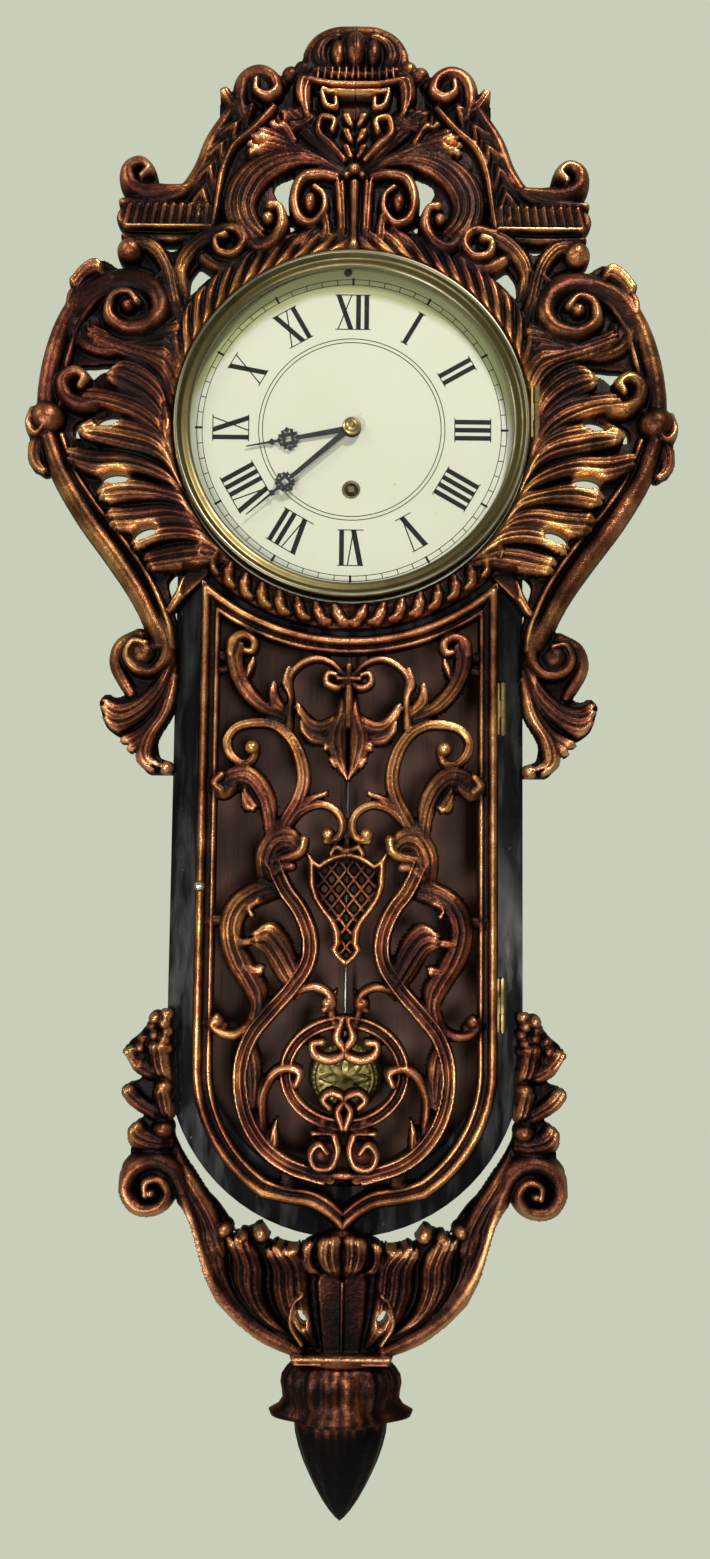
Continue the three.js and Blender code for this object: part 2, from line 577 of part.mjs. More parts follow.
// The verge carries the anchor between the plates and the crutch behind them.
function addVerge() {
  const arbor = rodY(ARBOR.r, ARBOR.front, -29.5, 0, PIVOT_Z, 8);
  const anchor = both([[-1, 48.5], [-3, 46.5], [-13, 38.5], [-12.6, 35.5], [-10.4, 37], [-1, 42.5]]);
  const hub = rodY(2.5, -33, -31, 0, PIVOT_Z, 10);
  const arm = box(-1.2, 1.2, -33, -31, 4, PIVOT_Z);
  const bridge = box(-2.8, 2.8, -33, -31, 0, 5);
  const prongs = [-1, 1].map((side) => {
    const [x0, x1] = side < 0 ? [-2.8, -1.8] : [1.8, 2.8];
    return box(x0, x1, -32, -22, 0, 5);
  });
  add("verge", join([arbor, prism(anchor, -61, -59.8), hub, arm, bridge, ...prongs]), STEEL);
}

function addPendulum() {
  const cock = box(-6, 6, -35.2, -20, 50, PLATE.top);
  const lug = box(-4, 4, -28, -20, 47.5, 51);
  add("suspension_cock", cock.add(lug), BRASS);
  add("suspension_spring", box(-0.2, 0.2, -27, -21, 30, 47.2), STEEL);
  const nutTop = BOB.z - BOB.r - 0.4;
  const rod = rodZ(ROD_R, nutTop - 8, 26, 0, ROD_Y, 10);
  const block = box(-2.5, 2.5, -27.5, -20.5, 24, 29.7);
  add("pendulum_rod", rod.add(block), STEEL);
  const { r, half, z } = BOB;
  const swell = [[0, 1], [0.4, 0.92], [0.72, 0.62], [0.94, 0.2], [1, 0.08]];
  const front = swell.map(([a, b]) => [a * r, ROD_Y - b * half]);
  const rear = swell.map(([a, b]) => [a * r, ROD_Y + b * half]).reverse();
  const bore = rodZ(1.6, z - r - 1, z + r + 1, 0, ROD_Y, 10);
  add("pendulum_bob", turned([...front, ...rear], 40, z).subtract(bore), BRASS);
  const nut = rodZ(4, nutTop - 4.5, nutTop, 0, ROD_Y, 12);
  add("rating_nut", nut.subtract(rodZ(1.6, nutTop - 6, nutTop + 1, 0, ROD_Y, 10)), BRASS);
}

// ---- the motion work and the hands ----
function addMotionWork() {
  const tube = (outer, bore, y0, y1) =>
    rodY(outer, y0, y1, 0, 0, 16).subtract(rodY(bore, ...CUT, 0, 0, 12));
  const cannonTube = rodY(2.7, -89.2, -70, 0, 0, 12);
  const cannonDisc = rodY(5 - MESH_GAP, -72, -70, 0, 0, 14);
  const cannonBore = rodY(1.6, ...CUT, 0, 0, 12);
  add("cannon_pinion", cannonTube.add(cannonDisc).subtract(cannonBore), BRASS);
  const { x, z } = MOTION;
  const wheel = rodY(15 - MESH_GAP, -72, -70, x, z, 28);
  const pinion = rodY(4 - MESH_GAP, -75.5, -73.5, x, z, 12);
  const sleeve = rodY(2.6, -75.5, -70, x, z, 10);
  const studHole = rodY(1.6, ...CUT, x, z, 8);
  add("minute_wheel", cut(join([wheel, pinion, sleeve]), [studHole]), BRASS);
  const hourDisc = tube(16 - MESH_GAP, 3.1, -75.5, -73.5);
  add("hour_wheel", hourDisc.add(tube(4, 3.1, -86.2, -74)), BRASS);
  add("hand_nut", tube(3.5, 1.6, -92, -89.5), BRASS);
}

// Half of a hand's outline, pointing up: across, along. It has a cross, a small diamond and a thin tip.
function handEdge(cross, diamond, tip, arm) {
  return [
    [2.6, 0], [1.3, cross - 16], [1, cross - arm], [2.6, cross - arm], [2.6, cross - 2.6],
    [arm, cross - 2.6], [arm, cross + 2.6], [2.6, cross + 2.6], [2.6, cross + arm], [0.9, cross + arm],
    [0.8, diamond - 2.6], [2.3, diamond], [0.7, diamond + 2.6], [0.3, tip],
  ];
}

function addHand(name, edge, degrees, y0, hub, bore) {
  const turn = (degrees * Math.PI) / 180;
  const half = edge.map(([across, along]) => [-across, along]);
  const whole = [...half, ...mirrored(half)].map(([x, z]) => [
    x * Math.cos(turn) + z * Math.sin(turn),
    -x * Math.sin(turn) + z * Math.cos(turn),
  ]);
  const blade = prism(polygon(whole), y0, y0 + 0.8);
  const boss = rodY(hub, y0, y0 + 0.8, 0, 0, 16);
  add(name, cut(blade.add(boss), [rodY(bore, ...CUT, 0, 0, 12)]), BLUED);
}

addBackBoards();
addHanger();
addCaseWalls();
addFrontFrame();
addHeadCasting();
addDial();
addBezel();
addBezelHinge();
addDoorCasting();
addDoorHinges();
addLatch();
addBracket();
addFinial();
addPlates();
addTrain();
addVerge();
addPendulum();
addMotionWork();
addHand("hour_hand", handEdge(42, 53, 70, 6.2), HOUR_ANGLE, -86.2, 6, 4.3);
addHand("minute_hand", handEdge(57, 68, 90, 5.6), MINUTE_ANGLE, -89.2, 5, 3);

export default clock;
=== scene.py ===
# Pendulum wall clock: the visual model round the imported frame. Lengths are in millimetres in the helper
# functions and become metres when a mesh is made. +Z up, +X right, the dial faces -Y.
import json
import math

import bmesh
import bpy
import numpy as np
from mathutils import Matrix, Vector
from mathutils.bvhtree import BVHTree


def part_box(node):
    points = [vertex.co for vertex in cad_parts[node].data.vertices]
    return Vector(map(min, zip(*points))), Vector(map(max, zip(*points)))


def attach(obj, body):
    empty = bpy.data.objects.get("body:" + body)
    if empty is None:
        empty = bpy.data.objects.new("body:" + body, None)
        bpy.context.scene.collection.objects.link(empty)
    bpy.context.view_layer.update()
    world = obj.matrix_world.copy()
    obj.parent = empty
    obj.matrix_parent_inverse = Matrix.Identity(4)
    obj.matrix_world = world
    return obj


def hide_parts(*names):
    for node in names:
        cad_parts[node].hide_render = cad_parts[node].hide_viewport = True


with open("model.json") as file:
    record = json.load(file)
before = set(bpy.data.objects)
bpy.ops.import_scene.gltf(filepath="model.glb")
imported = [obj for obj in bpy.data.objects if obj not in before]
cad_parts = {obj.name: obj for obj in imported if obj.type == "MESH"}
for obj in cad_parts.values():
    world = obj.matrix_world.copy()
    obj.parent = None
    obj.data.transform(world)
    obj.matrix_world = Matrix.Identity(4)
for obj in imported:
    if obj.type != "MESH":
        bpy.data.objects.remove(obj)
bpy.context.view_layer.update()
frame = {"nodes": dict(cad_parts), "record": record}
MM = 0.001


def corners(name):
    """Lowest and highest corner of a CAD node in millimetres."""
    low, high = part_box(name)
    return np.array(low) / MM, np.array(high) / MM


# ---- sizes from the frame ----
HEAD_LOW, HEAD_HIGH = corners("head_casting")
DOOR_LOW, DOOR_HIGH = corners("door_casting")
BRACKET_LOW, BRACKET_HIGH = corners("bracket_casting")
FINIAL_LOW, FINIAL_HIGH = corners("bracket_finial")
BOB_LOW, BOB_HIGH = corners("pendulum_bob")
CAST_BACK = HEAD_HIGH[1]  # back of the head and bracket castings
CAST_FRONT = HEAD_LOW[1] + 0.1  # no relief passes this plane
DOOR_BACK = DOOR_HIGH[1]
DIAL_FRONT = corners("dial_plate")[0][1]
BEZEL_R, BEZEL_BACK = corners("bezel_ring")[1][:2]

# ---- camera ----
CAMERA = {"place": (4.6, -848.5, -292.7), "pitch": 4.67, "roll": 0.62, "lens": 27.71}


def add_camera():
    data = bpy.data.cameras.new("camera")
    data.sensor_fit = "VERTICAL"
    data.sensor_height = 36
    data.lens = CAMERA["lens"]
    data.clip_start = 0.01
    camera = bpy.data.objects.new("camera", data)
    bpy.context.scene.collection.objects.link(camera)
    turn = Matrix.Rotation(math.radians(90 + CAMERA["pitch"]), 4, "X")
    roll = Matrix.Rotation(math.radians(CAMERA["roll"]), 4, "Z")
    camera.matrix_world = Matrix.Translation(Vector(CAMERA["place"]) * MM) @ turn @ roll
    bpy.context.scene.camera = camera


# ---- node materials ----
def feed(tree, value, socket):
    """Links a node's output to a socket, or sets a constant there."""
    if isinstance(value, bpy.types.NodeSocket):
        tree.links.new(value, socket)
    elif socket.type == "RGBA":
        socket.default_value = (*value, 1)
    else:
        socket.default_value = value


def drive(tree, shader, **inputs):
    """Feeds a shader's sockets. Their names have _ for a space."""
    for name, value in inputs.items():
        feed(tree, value, shader.inputs[name.replace("_", " ")])


def new_material(name, **constants):
    material = bpy.data.materials.new(name)
    material.use_nodes = True
    tree = material.node_tree
    shader = tree.nodes["Principled BSDF"]
    drive(tree, shader, **constants)
    return material, tree, shader


def node(tree, kind, inputs, **settings):
    made = tree.nodes.new(kind)
    for key, value in settings.items():
        setattr(made, key, value)
    for socket, value in inputs.items():
        feed(tree, value, made.inputs[socket])
    return made


def place_on(tree, stretch=(1, 1, 1)):
    """Places on the object, with each axis scaled."""
    place = node(tree, "ShaderNodeTexCoord", {}).outputs["Object"]
    return node(tree, "ShaderNodeMapping", {"Vector": place, "Scale": stretch}).outputs["Vector"]


def noise(tree, scale, detail, stretch=(1, 1, 1)):
    inputs = {"Vector": place_on(tree, stretch), "Scale": scale, "Detail": detail, "Roughness": 0.55}
    return node(tree, "ShaderNodeTexNoise", inputs).outputs["Fac"]


def ramp(tree, value, *stops):
    """Colours by a value. Each stop is the value and its colour."""
    made = node(tree, "ShaderNodeValToRGB", {"Fac": value})
    elements = made.color_ramp.elements
    while len(elements) < len(stops):
        elements.new(0.5)
    for element, (at, color) in zip(elements, stops):
        element.position = at
        element.color = (*color, 1)
    return made.outputs["Color"]


def span(tree, value, low, high, to_low=0.0, to_high=1.0):
    inputs = {"Value": value, "From Min": low, "From Max": high, "To Min": to_low, "To Max": to_high}
    return node(tree, "ShaderNodeMapRange", inputs).outputs["Result"]


def mix(tree, share, a, b):
    """Colour a where share is 0, b where it is 1. The two colour sockets are numbers 6 and 7."""
    return node(tree, "ShaderNodeMix", {"Factor": share, 6: a, 7: b}, data_type="RGBA").outputs[2]


def math_node(tree, operation, *values):
    return node(tree, "ShaderNodeMath", dict(enumerate(values)), operation=operation).outputs["Value"]


def bump(tree, shader, height, strength, distance):
    inputs = {"Height": height, "Strength": strength, "Distance": distance}
    drive(tree, shader, Normal=node(tree, "ShaderNodeBump", inputs).outputs["Normal"])


def ridge_of(tree):
    return node(tree, "ShaderNodeAttribute", {}, attribute_name="ridge").outputs["Fac"]


# Colours of worn cast metal, from its hollows to the ridges that hands rub.
WEAR = (0.20, 0.42, 0.56, 0.70, 0.88)
COPPER = ((0.004, 0.002, 0.002), (0.030, 0.007, 0.005), (0.12, 0.030, 0.016), (0.36, 0.115, 0.052),
          (0.85, 0.40, 0.20))
GOLD = ((0.005, 0.003, 0.002), (0.040, 0.014, 0.006), (0.15, 0.058, 0.018), (0.45, 0.20, 0.055),
        (0.95, 0.56, 0.19))


def bronzed_material(name, shade, gold):
    """Bronzed cast iron: dark hollows, reddish copper, and gold rubbed on to the ridges."""
    material, tree, shader = new_material(name, Metallic=0.85)
    grain = noise(tree, 900, 5)
    patches = span(tree, noise(tree, 38, 3), 0.32, 0.68, -0.18, 0.13)
    uneven = math_node(tree, "ADD", ridge_of(tree), patches)
    worn = math_node(tree, "ADD", uneven, span(tree, grain, 0.3, 0.7, -0.07, 0.07))
    copper, golden = (
        ramp(tree, worn, *[(at, [shade * part for part in color]) for at, color in zip(WEAR, colors)])
        for colors in (COPPER, GOLD)
    )
    gilded = span(tree, noise(tree, 16, 2), 0.40, 0.60, 0.0, gold)
    drive(tree, shader, Base_Color=mix(tree, gilded, copper, golden),
          Roughness=span(tree, worn, 0.2, 0.9, 0.40, 0.27))
    lumps = math_node(tree, "ADD", noise(tree, 210, 4), span(tree, grain, 0, 1, 0, 0.35))
    bump(tree, shader, lumps, 0.5, 0.0012)
    return material


def lacquer_material():
    """Black gloss paint on wood, with brush lines, uneven streaks of shine and small chips of wear."""
    mean_shine = 0.2  # what the linked level below comes to on average, for a reader that drops the link
    material, tree, shader = new_material("case_lacquer", Coat_Roughness=0.2, Specular_IOR_Level=mean_shine)
    lines = noise(tree, 60, 5, (1, 1, 0.06))
    chips = span(tree, noise(tree, 420, 6), 0.70, 0.74)
    black = ramp(tree, lines, (0.35, (0.002, 0.002, 0.0025)), (0.65, (0.007, 0.007, 0.009)))
    rough = span(tree, noise(tree, 26, 6, (1, 1, 0.5)), 0.35, 0.65, 0.22, 0.55)
    coat = span(tree, noise(tree, 18, 6, (1, 1, 0.4)), 0.50, 0.72, 0.0, 0.45)
    shine = span(tree, noise(tree, 95, 6, (1, 1, 0.16)), 0.46, 0.70, 0.03, 0.50)
    drive(tree, shader, Base_Color=mix(tree, chips, black, (0.10, 0.085, 0.07)), Roughness=rough,
          Coat_Weight=coat, Specular_IOR_Level=shine)
    bump(tree, shader, lines, 0.25, 0.0008)
    return material


def wood_material(name, dark, light, ring_scale):
    material, tree, shader = new_material(name, Roughness=0.62)
    inputs = {"Vector": place_on(tree, (1, 1, 0.10)), "Scale": ring_scale, "Distortion": 7, "Detail": 4,
              "Detail Scale": 2}
    rings = node(tree, "ShaderNodeTexWave", inputs, wave_type="BANDS", bands_direction="X").outputs["Fac"]
    pores = noise(tree, 700, 3, (1, 1, 0.04))
    grown = ramp(tree, rings, (0.0, dark), (1.0, light))
    in_pores = [0.5 * part for part in dark]
    drive(tree, shader, Base_Color=mix(tree, span(tree, pores, 0.55, 0.75), grown, in_pores))
    bump(tree, shader, pores, 0.3, 0.0004)
    return material


def metal_material(name, low, high, rough=(0.25, 0.45), scale=120, metallic=1.0):
    """Cloudy metal: from the low colour and the rougher value to the high colour and the smoother one."""
    material, tree, shader = new_material(name, Metallic=metallic)
    cloud = noise(tree, scale, 6)
    drive(tree, shader, Base_Color=ramp(tree, cloud, (0.32, low), (0.68, high)),
          Roughness=span(tree, cloud, 0.3, 0.7, rough[1], rough[0]))
    bump(tree, shader, noise(tree, scale * 6, 3), 0.12, 0.0003)
    return material


def bezel_material():
    """Old spun brass: olive on the wall and in the hollow, with a painted highlight on the rims."""
    material, tree, shader = new_material("bezel_brass", Metallic=1.0)
    cloud = noise(tree, 45, 6)
    olive = ramp(tree, cloud, (0.3, (0.075, 0.060, 0.024)), (0.7, (0.20, 0.165, 0.070)))
    # on the bezel the ridge value is a painted highlight on its rims, in this pale colour
    drive(tree, shader, Base_Color=mix(tree, ridge_of(tree), olive, (0.30, 0.28, 0.20)),
          Roughness=span(tree, cloud, 0.3, 0.7, 0.40, 0.24))
    return material


def dial_material():
    """Cream enamel paint with faint specks; a band inside the bezel, widest at the top, is yellowed with age
    and painted with the bezel's shadow.
    """
    material, tree, shader = new_material("dial_enamel", Roughness=0.6, Coat_Weight=0.1, Coat_Roughness=0.35)
    axes = node(tree, "ShaderNodeSeparateXYZ", {"Vector": place_on(tree)}).outputs
    lower = math_node(tree, "ADD", axes["Z"], 0.016)  # the circle of the band of age and painted bezel shadow lies this much lower than the dial
    squares = [math_node(tree, "MULTIPLY", side, side) for side in (axes["X"], lower)]
    reach = math_node(tree, "SQRT", math_node(tree, "ADD", *squares))
    cloud = noise(tree, 14, 4)
    ragged = math_node(tree, "ADD", reach, span(tree, cloud, 0.3, 0.7, -0.003, 0.003))
    clean = ramp(tree, cloud, (0.3, (0.67, 0.685, 0.545)), (0.7, (0.71, 0.72, 0.585)))
    # the band is partly yellowing with age and partly a painted shadow of the bezel
    aged_and_bezel_shadow = mix(tree, span(tree, ragged, 0.1045, 0.1095), clean, (0.37, 0.38, 0.17))
    specks = span(tree, noise(tree, 260, 4), 0.715, 0.74)
    drive(tree, shader, Base_Color=mix(tree, specks, aged_and_bezel_shadow, (0.45, 0.42, 0.28)))
    bump(tree, shader, noise(tree, 90, 3), 0.08, 0.0004)
    return material


def glass_material():
    """Clear glass, drawn as a thin pane: it lets light through and keeps a faint shine."""
    material, tree, shader = new_material("bezel_clear_glass", Roughness=0.03, IOR=1.45, Alpha=0.05)
    smear = ramp(tree, noise(tree, 30, 3), (0.3, (0.10, 0.12, 0.11)), (0.7, (0.16, 0.18, 0.17)))
    drive(tree, shader, Base_Color=smear)
    return material


def ink_material():
    material, tree, shader = new_material("dial_ink", Roughness=0.6, Specular_IOR_Level=0.1)
    faded = ramp(tree, noise(tree, 300, 3), (0.3, (0.003, 0.004, 0.003)), (0.7, (0.010, 0.012, 0.009)))
    drive(tree, shader, Base_Color=faded)
    return material


# ---- meshes ----
def mesh_object(name, verts, faces, material, smooth=True):
    """verts in millimetres."""
    data = bpy.data.meshes.new(name)
    data.from_pydata((np.asarray(verts, float) * MM).tolist(), [], [list(face) for face in faces])
    data.validate()
    data.polygons.foreach_set("use_smooth", np.full(len(data.polygons), smooth))
    obj = bpy.data.objects.new(name, data)
    bpy.context.scene.collection.objects.link(obj)
    data.materials.append(material)
    return obj


def settle(obj, body, slot, *stands_for):
    """Rides a piece on its body and hides the CAD parts it stands for."""
    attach(obj, body)
    if stands_for:
        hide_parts(*stands_for)
    return obj


def prism_mesh(polygons, y0, y1):
    """Verts and faces of flat polygons in X and Z, made solid from y0 to y1."""
    verts = []
    faces = []
    for points in polygons:
        area = sum(a[0] * b[1] - b[0] * a[1] for a, b in zip(points, points[1:] + points[:1]))
        ring = points if area > 0 else points[::-1]
        count = len(ring)
        start = len(verts)
        verts += [(x, y0, z) for x, z in ring] + [(x, y1, z) for x, z in ring]
        faces.append(tuple(range(start, start + count)))
        faces.append(tuple(range(start + 2 * count - 1, start + count - 1, -1)))
        for i in range(count):
            j = (i + 1) % count
            faces.append((start + i, start + count + i, start + count + j, start + j))
    return verts, faces


def spun(name, profile, sides, material, centre=(0, 0), flat=1.0, upright=False, shape=None, middle=0.0):
    """A solid turned about an axis along Y through centre = (x, z), or about Z at y = middle when upright.
    The closed profile's points are (radius, along). shape(radius, along, angle) may change the radius."""
    count = len(profile)
    verts = []
    for i in range(sides):
        angle = 2 * math.pi * i / sides
        for radius, along in profile:
            r = shape(radius, along, angle) if shape else radius
            across = r * math.cos(angle)
            rise = r * math.sin(angle)
            if upright:
                verts.append((across, middle + flat * rise, along))
            else:
                verts.append((centre[0] + across, along, centre[1] + rise))
    faces = []
    for i in range(sides):
        for j in range(count):
            k = (j + 1) % count
            a, b = i * count, (i + 1) % sides * count
            if profile[j][0] == 0 and profile[k][0] == 0:
                continue
            faces.append((a + j, b + j, b + k, a + k))
    obj = mesh_object(name, verts, faces, material)
    weld(obj)
    return obj


def weld(obj):
    """Joins vertices at one place and turns all faces outwards."""
    work = bmesh.new()
    work.from_mesh(obj.data)
    bmesh.ops.remove_doubles(work, verts=work.verts, dist=0.002 * MM)
    bmesh.ops.recalc_face_normals(work, faces=work.faces)
    work.to_mesh(obj.data)
    work.free()


def set_ridge(obj, values):
    """Stores how rubbed each vertex is, from 0 to 1, for the materials; on the bezel it holds the painted
    highlight on the rims.
    """
    layer = obj.data.attributes.new("ridge", "FLOAT", "POINT")
    layer.data.foreach_set("value", np.broadcast_to(values, len(obj.data.vertices)).astype(np.float32))


def places(obj):
    """An object's vertices in millimetres, as columns x, y and z."""
    return (np.array([v.co for v in obj.data.vertices]) / MM).T


# ---- cast relief: a height over the casting's back, drawn with strokes ----
PITCH = 0.85  # distance between the relief's grid lines
STEP = 0.42  # distance between the samples of a leaf
SOFT = 1.6  # height difference at which two shapes begin to run together
OUTSIDE = -9.0  # how far inside a shape a point is that lies well outside it
EVERYWHERE = (slice(None), slice(None))


def share_along(line):
    """How far along a line each of its points is, from 0 to 1."""
    lengths = np.concatenate([[0], np.cumsum(np.linalg.norm(np.diff(line, axis=0), axis=1))])
    return lengths / lengths[-1]


def smooth_line(points, step=1.6):
    """A smooth line through given points: places, and how far along each is, from 0 to 1."""
    p = np.asarray(points, float)
    if len(p) == 2:
        count = max(2, int(np.linalg.norm(p[1] - p[0]) / step))
        t = np.linspace(0, 1, count)[:, None]
        return p[0] * (1 - t) + p[1] * t, t[:, 0]
    ends = np.vstack([2 * p[0] - p[1], p, 2 * p[-1] - p[-2]])
    line = []
    for a, b, c, d in zip(ends, ends[1:], ends[2:], ends[3:]):
        count = max(2, int(np.linalg.norm(c - b) / step))
        t = np.linspace(0, 1, count, endpoint=False)[:, None]
        curve = 2 * b + (c - a) * t + (2 * a - 5 * b + 4 * c - d) * t**2 + (3 * b - a - 3 * c + d) * t**3
        line.append(curve / 2)
    line = np.vstack([*line, p[-1:]])
    return line, share_along(line)


def spread(values, t):
    """Values given at even steps, or one value, read at the shares t."""
    values = np.atleast_1d(values)
    return np.interp(t, np.linspace(0, 1, len(values)), values)


def profile_height(style, u, t):
    """Height across a stroke, from 0 to 1, where u runs from its middle (0) to its edge (1)."""
    dome = np.sqrt(np.clip(1 - u**2, 0, 1))
    if style == "ridges":
        return dome**0.7 * (0.93 + 0.07 * np.cos(3 * np.pi * u))
    if style == "hollow":
        return np.sqrt(np.clip(1 - u**6, 0, 1)) * (0.80 + 0.20 * u**2)
    if style == "flat":
        return np.clip((1 - u) * 4, 0, 1) ** 0.5
    if style == "lobed":
        return dome * (0.80 + 0.20 * np.cos(2 * np.pi * (5 * t + 0.9 * u)))
    return dome


class Relief:
    """The left half of a symmetric casting, as a grid of heights."""

    def __init__(self, low, high, lift):
        self.xs = np.arange(low[0] - 3 * PITCH, PITCH / 2, PITCH)
        self.xs -= self.xs[-1]
        self.zs = np.arange(low[2] - 3 * PITCH, high[2] + 3 * PITCH, PITCH)
        self.x, self.z = np.meshgrid(self.xs, self.zs)
        self.height = np.zeros_like(self.x)
        self.inside = np.full_like(self.x, OUTSIDE)
        self.low, self.high, self.lift = low, high, lift

    def window(self, x0, x1, z0, z1):
        columns = np.searchsorted(self.xs, [x0, x1])
        rows = np.searchsorted(self.zs, [z0, z1])
        return slice(*rows), slice(*columns)

    def merge(self, where, inside, height):
        """Adds a shape. Where two shapes come to about one height they run into each other softly."""
        covered = inside > 0
        raised = np.where(covered, height, 0)
        old = self.height[where]
        close = np.clip(SOFT - np.abs(old - raised), 0, SOFT) ** 2 / (4 * SOFT)
        both = covered & (self.inside[where] > 0)
        self.height[where] = np.maximum(old, raised) + np.where(both, close, 0)
        self.inside[where] = np.maximum(self.inside[where], inside)

    def scatter(self, place, edge, height, lift):
        """Adds a shape from many samples. A grid point takes the mean of the samples nearest to it."""
        column = np.rint((place[..., 0] - self.xs[0]) / PITCH).astype(int)
        row = np.rint((place[..., 1] - self.zs[0]) / PITCH).astype(int)
        ok = (column >= 0) & (column < len(self.xs)) & (row >= 0) & (row < len(self.zs)) & (edge > 0)
        count, total, reach = (np.zeros_like(self.x) for _ in range(3))
        for grid, values in ((count, np.ones_like(edge)), (total, height), (reach, edge)):
            np.add.at(grid, (row[ok], column[ok]), values[ok])
        safe = np.maximum(count, 1)
        self.merge(EVERYWHERE, np.where(count > 0, reach / safe, OUTSIDE), lift + total / safe)

    def leaf(self, first, last, flutes, rise, curl=2.5, tip=0.10, lift=None):
        """A fluted leaf between two edge lines that both run from its root to its tip, which curls up."""
        edges = [smooth_line(points)[0] for points in (first, last)]
        length = max(np.linalg.norm(np.diff(line, axis=0), axis=1).sum() for line in edges)
        t = np.linspace(0, 1, int(length / STEP) + 2)
        a, b = (np.stack([spread(line[:, k], t) for k in (0, 1)], 1) for line in edges)
        width = np.linalg.norm(a - b, axis=1)[:, None]
        s = np.linspace(0, 1, int(width.max() / STEP) + 2)[:, None]
        place = a[:, None] * (1 - s) + b[:, None] * s
        t, s = t[:, None], s.T
        flute = np.abs(np.sin(math.pi * flutes * s))
        veins = 1 - np.abs(np.sin(2 * math.pi * flutes * s))
        swell = 0.50 + 0.50 * np.sin(math.pi * s) ** 0.6
        root = np.clip(0.45 + 2.2 * t, 0, 1)
        lip = np.clip((t - 0.62) / 0.38, 0, 1) ** 1.5 - np.clip((t - 0.93) / 0.07, 0, 1)
        height = rise * swell * (1 - 0.17 * (1 - flute) ** 2 - 0.10 * veins**2) * root + curl * lip
        ahead = (1 - tip * (1 - flute) - 0.11 * np.abs(2 * s - 1) ** 3 - t) * length
        edge = np.minimum(np.minimum(s, 1 - s) * width, ahead) + 0.8
        self.scatter(place, edge, height, self.lift if lift is None else lift)

    def hole(self, x, z, rx, rz, lean=0.0):
        """An oval piercing."""
        c, k = math.cos(math.radians(lean)), math.sin(math.radians(lean))
        across, up = (self.x - x) * c + (self.z - z) * k, (self.z - z) * c - (self.x - x) * k
        away = (np.hypot(across / rx, up / rz) - 1) * min(rx, rz)
        self.inside = np.minimum(self.inside, away)

    def stroke(self, points, widths, rise, style="round", lift=None, straight=False):
        """A bar of changing half-width and rise along a line, at its own lift over the back."""
        lift = self.lift if lift is None else lift
        line = np.asarray(points, float) if straight else smooth_line(points)[0]
        t = share_along(line)
        half = spread(widths, t)
        reach = half.max() + 2
        low, high = line.min(0) - reach, line.max(0) + reach
        where = self.window(low[0], high[0], low[1], high[1])
        x, z = self.x[where], self.z[where]
        if not x.size:
            return
        best = np.full(x.shape, 99.0)
        along, near = np.zeros(x.shape), np.ones(x.shape)
        for i, ((ax, az), (dx, dz)) in enumerate(zip(line, np.diff(line, axis=0))):
            if dx == dz == 0:
                continue
            s = np.clip(((x - ax) * dx + (z - az) * dz) / (dx * dx + dz * dz), 0, 1)
            width = half[i] + s * (half[i + 1] - half[i])
            u = np.hypot(x - ax - s * dx, z - az - s * dz) / width
            closer = u < best
            best = np.where(closer, u, best)
            near = np.where(closer, width, near)
            along = np.where(closer, t[i] + s * (t[i + 1] - t[i]), along)
        height = lift + spread(rise, along) * profile_height(style, np.clip(best, 0, 1), along)
        self.merge(where, (1 - best) * near, height)

    def ball(self, x, z, r, rise, lift=None, flat=1.0):
        lift = self.lift if lift is None else lift
        where = self.window(x - r - 2, x + r + 2, z - r * flat - 2, z + r * flat + 2)
        u = np.hypot(self.x[where] - x, (self.z[where] - z) / flat) / r
        self.merge(where, (1 - u) * r, lift + rise * np.sqrt(np.clip(1 - u**2, 0, 1)))

    def ground(self, cad_node, rise, soften=1.5):
        """A low ground inside a CAD casting's outline, rounded at its edges."""
        data = frame["nodes"][cad_node].data
        tree = BVHTree.FromPolygons([v.co for v in data.vertices], [p.vertices for p in data.polygons])
        solid = np.zeros_like(self.x)
        ahead = Vector((0, 1, 0))
        for row, z in enumerate(self.zs):
            for column, x in enumerate(self.xs):
                hit = tree.ray_cast(Vector((x * MM, -0.2, z * MM)), ahead)
                solid[row, column] = hit[0] is not None
        edge = blur(solid, soften)
        self.inside = np.maximum(self.inside, (edge - 0.5) * 4 * soften)
        height = self.lift + rise * np.clip((blur(solid, 4.5) - 0.5) * 2.2, 0, 1) ** 0.5
        self.height = np.maximum(self.height, np.where(edge > 0.5, height, 0))


def blur(values, width):
    """Three box averages, which come close to a soft round blur of that width in millimetres."""
    half = max(1, int(round(width / PITCH)))
    kernel = np.ones(2 * half + 1) / (2 * half + 1)

    def average(line):
        return np.convolve(np.pad(line, half, "edge"), kernel, "valid")

    for _ in range(3):
        values = np.apply_along_axis(average, 0, values)
        values = np.apply_along_axis(average, 1, values)
    return values


def pulled_grid(relief, inside):
    """The grid's places. Points just outside the shape are pulled on to its edge, and none leaves the box."""
    slope_z, slope_x = np.gradient(inside, PITCH)
    steep = np.maximum(slope_x**2 + slope_z**2, 0.05)
    pull = np.where(inside <= 0, np.clip(-inside, 0, 1.5 * PITCH), 0) / steep
    x = relief.x + np.clip(pull * slope_x, -PITCH, PITCH)
    z = relief.z + np.clip(pull * slope_z, -PITCH, PITCH)
    x = np.clip(x, relief.low[0], 0)
    x[:, -1] = 0.0
    return x, np.clip(z, relief.low[2], relief.high[2])


def ridge_tone(relief, inside):
    """From 0 in the hollows to 1 on the ridges, by the height over the wide and the near surroundings."""
    wide = blur(np.where(inside > 0, relief.height, 0.5 * relief.lift), 5.0)
    near = blur(np.where(inside > 0, relief.height, 0.6 * relief.lift), 1.6)
    return np.clip(0.385 + 0.058 * (relief.height - wide) + 0.105 * (relief.height - near), 0, 1)


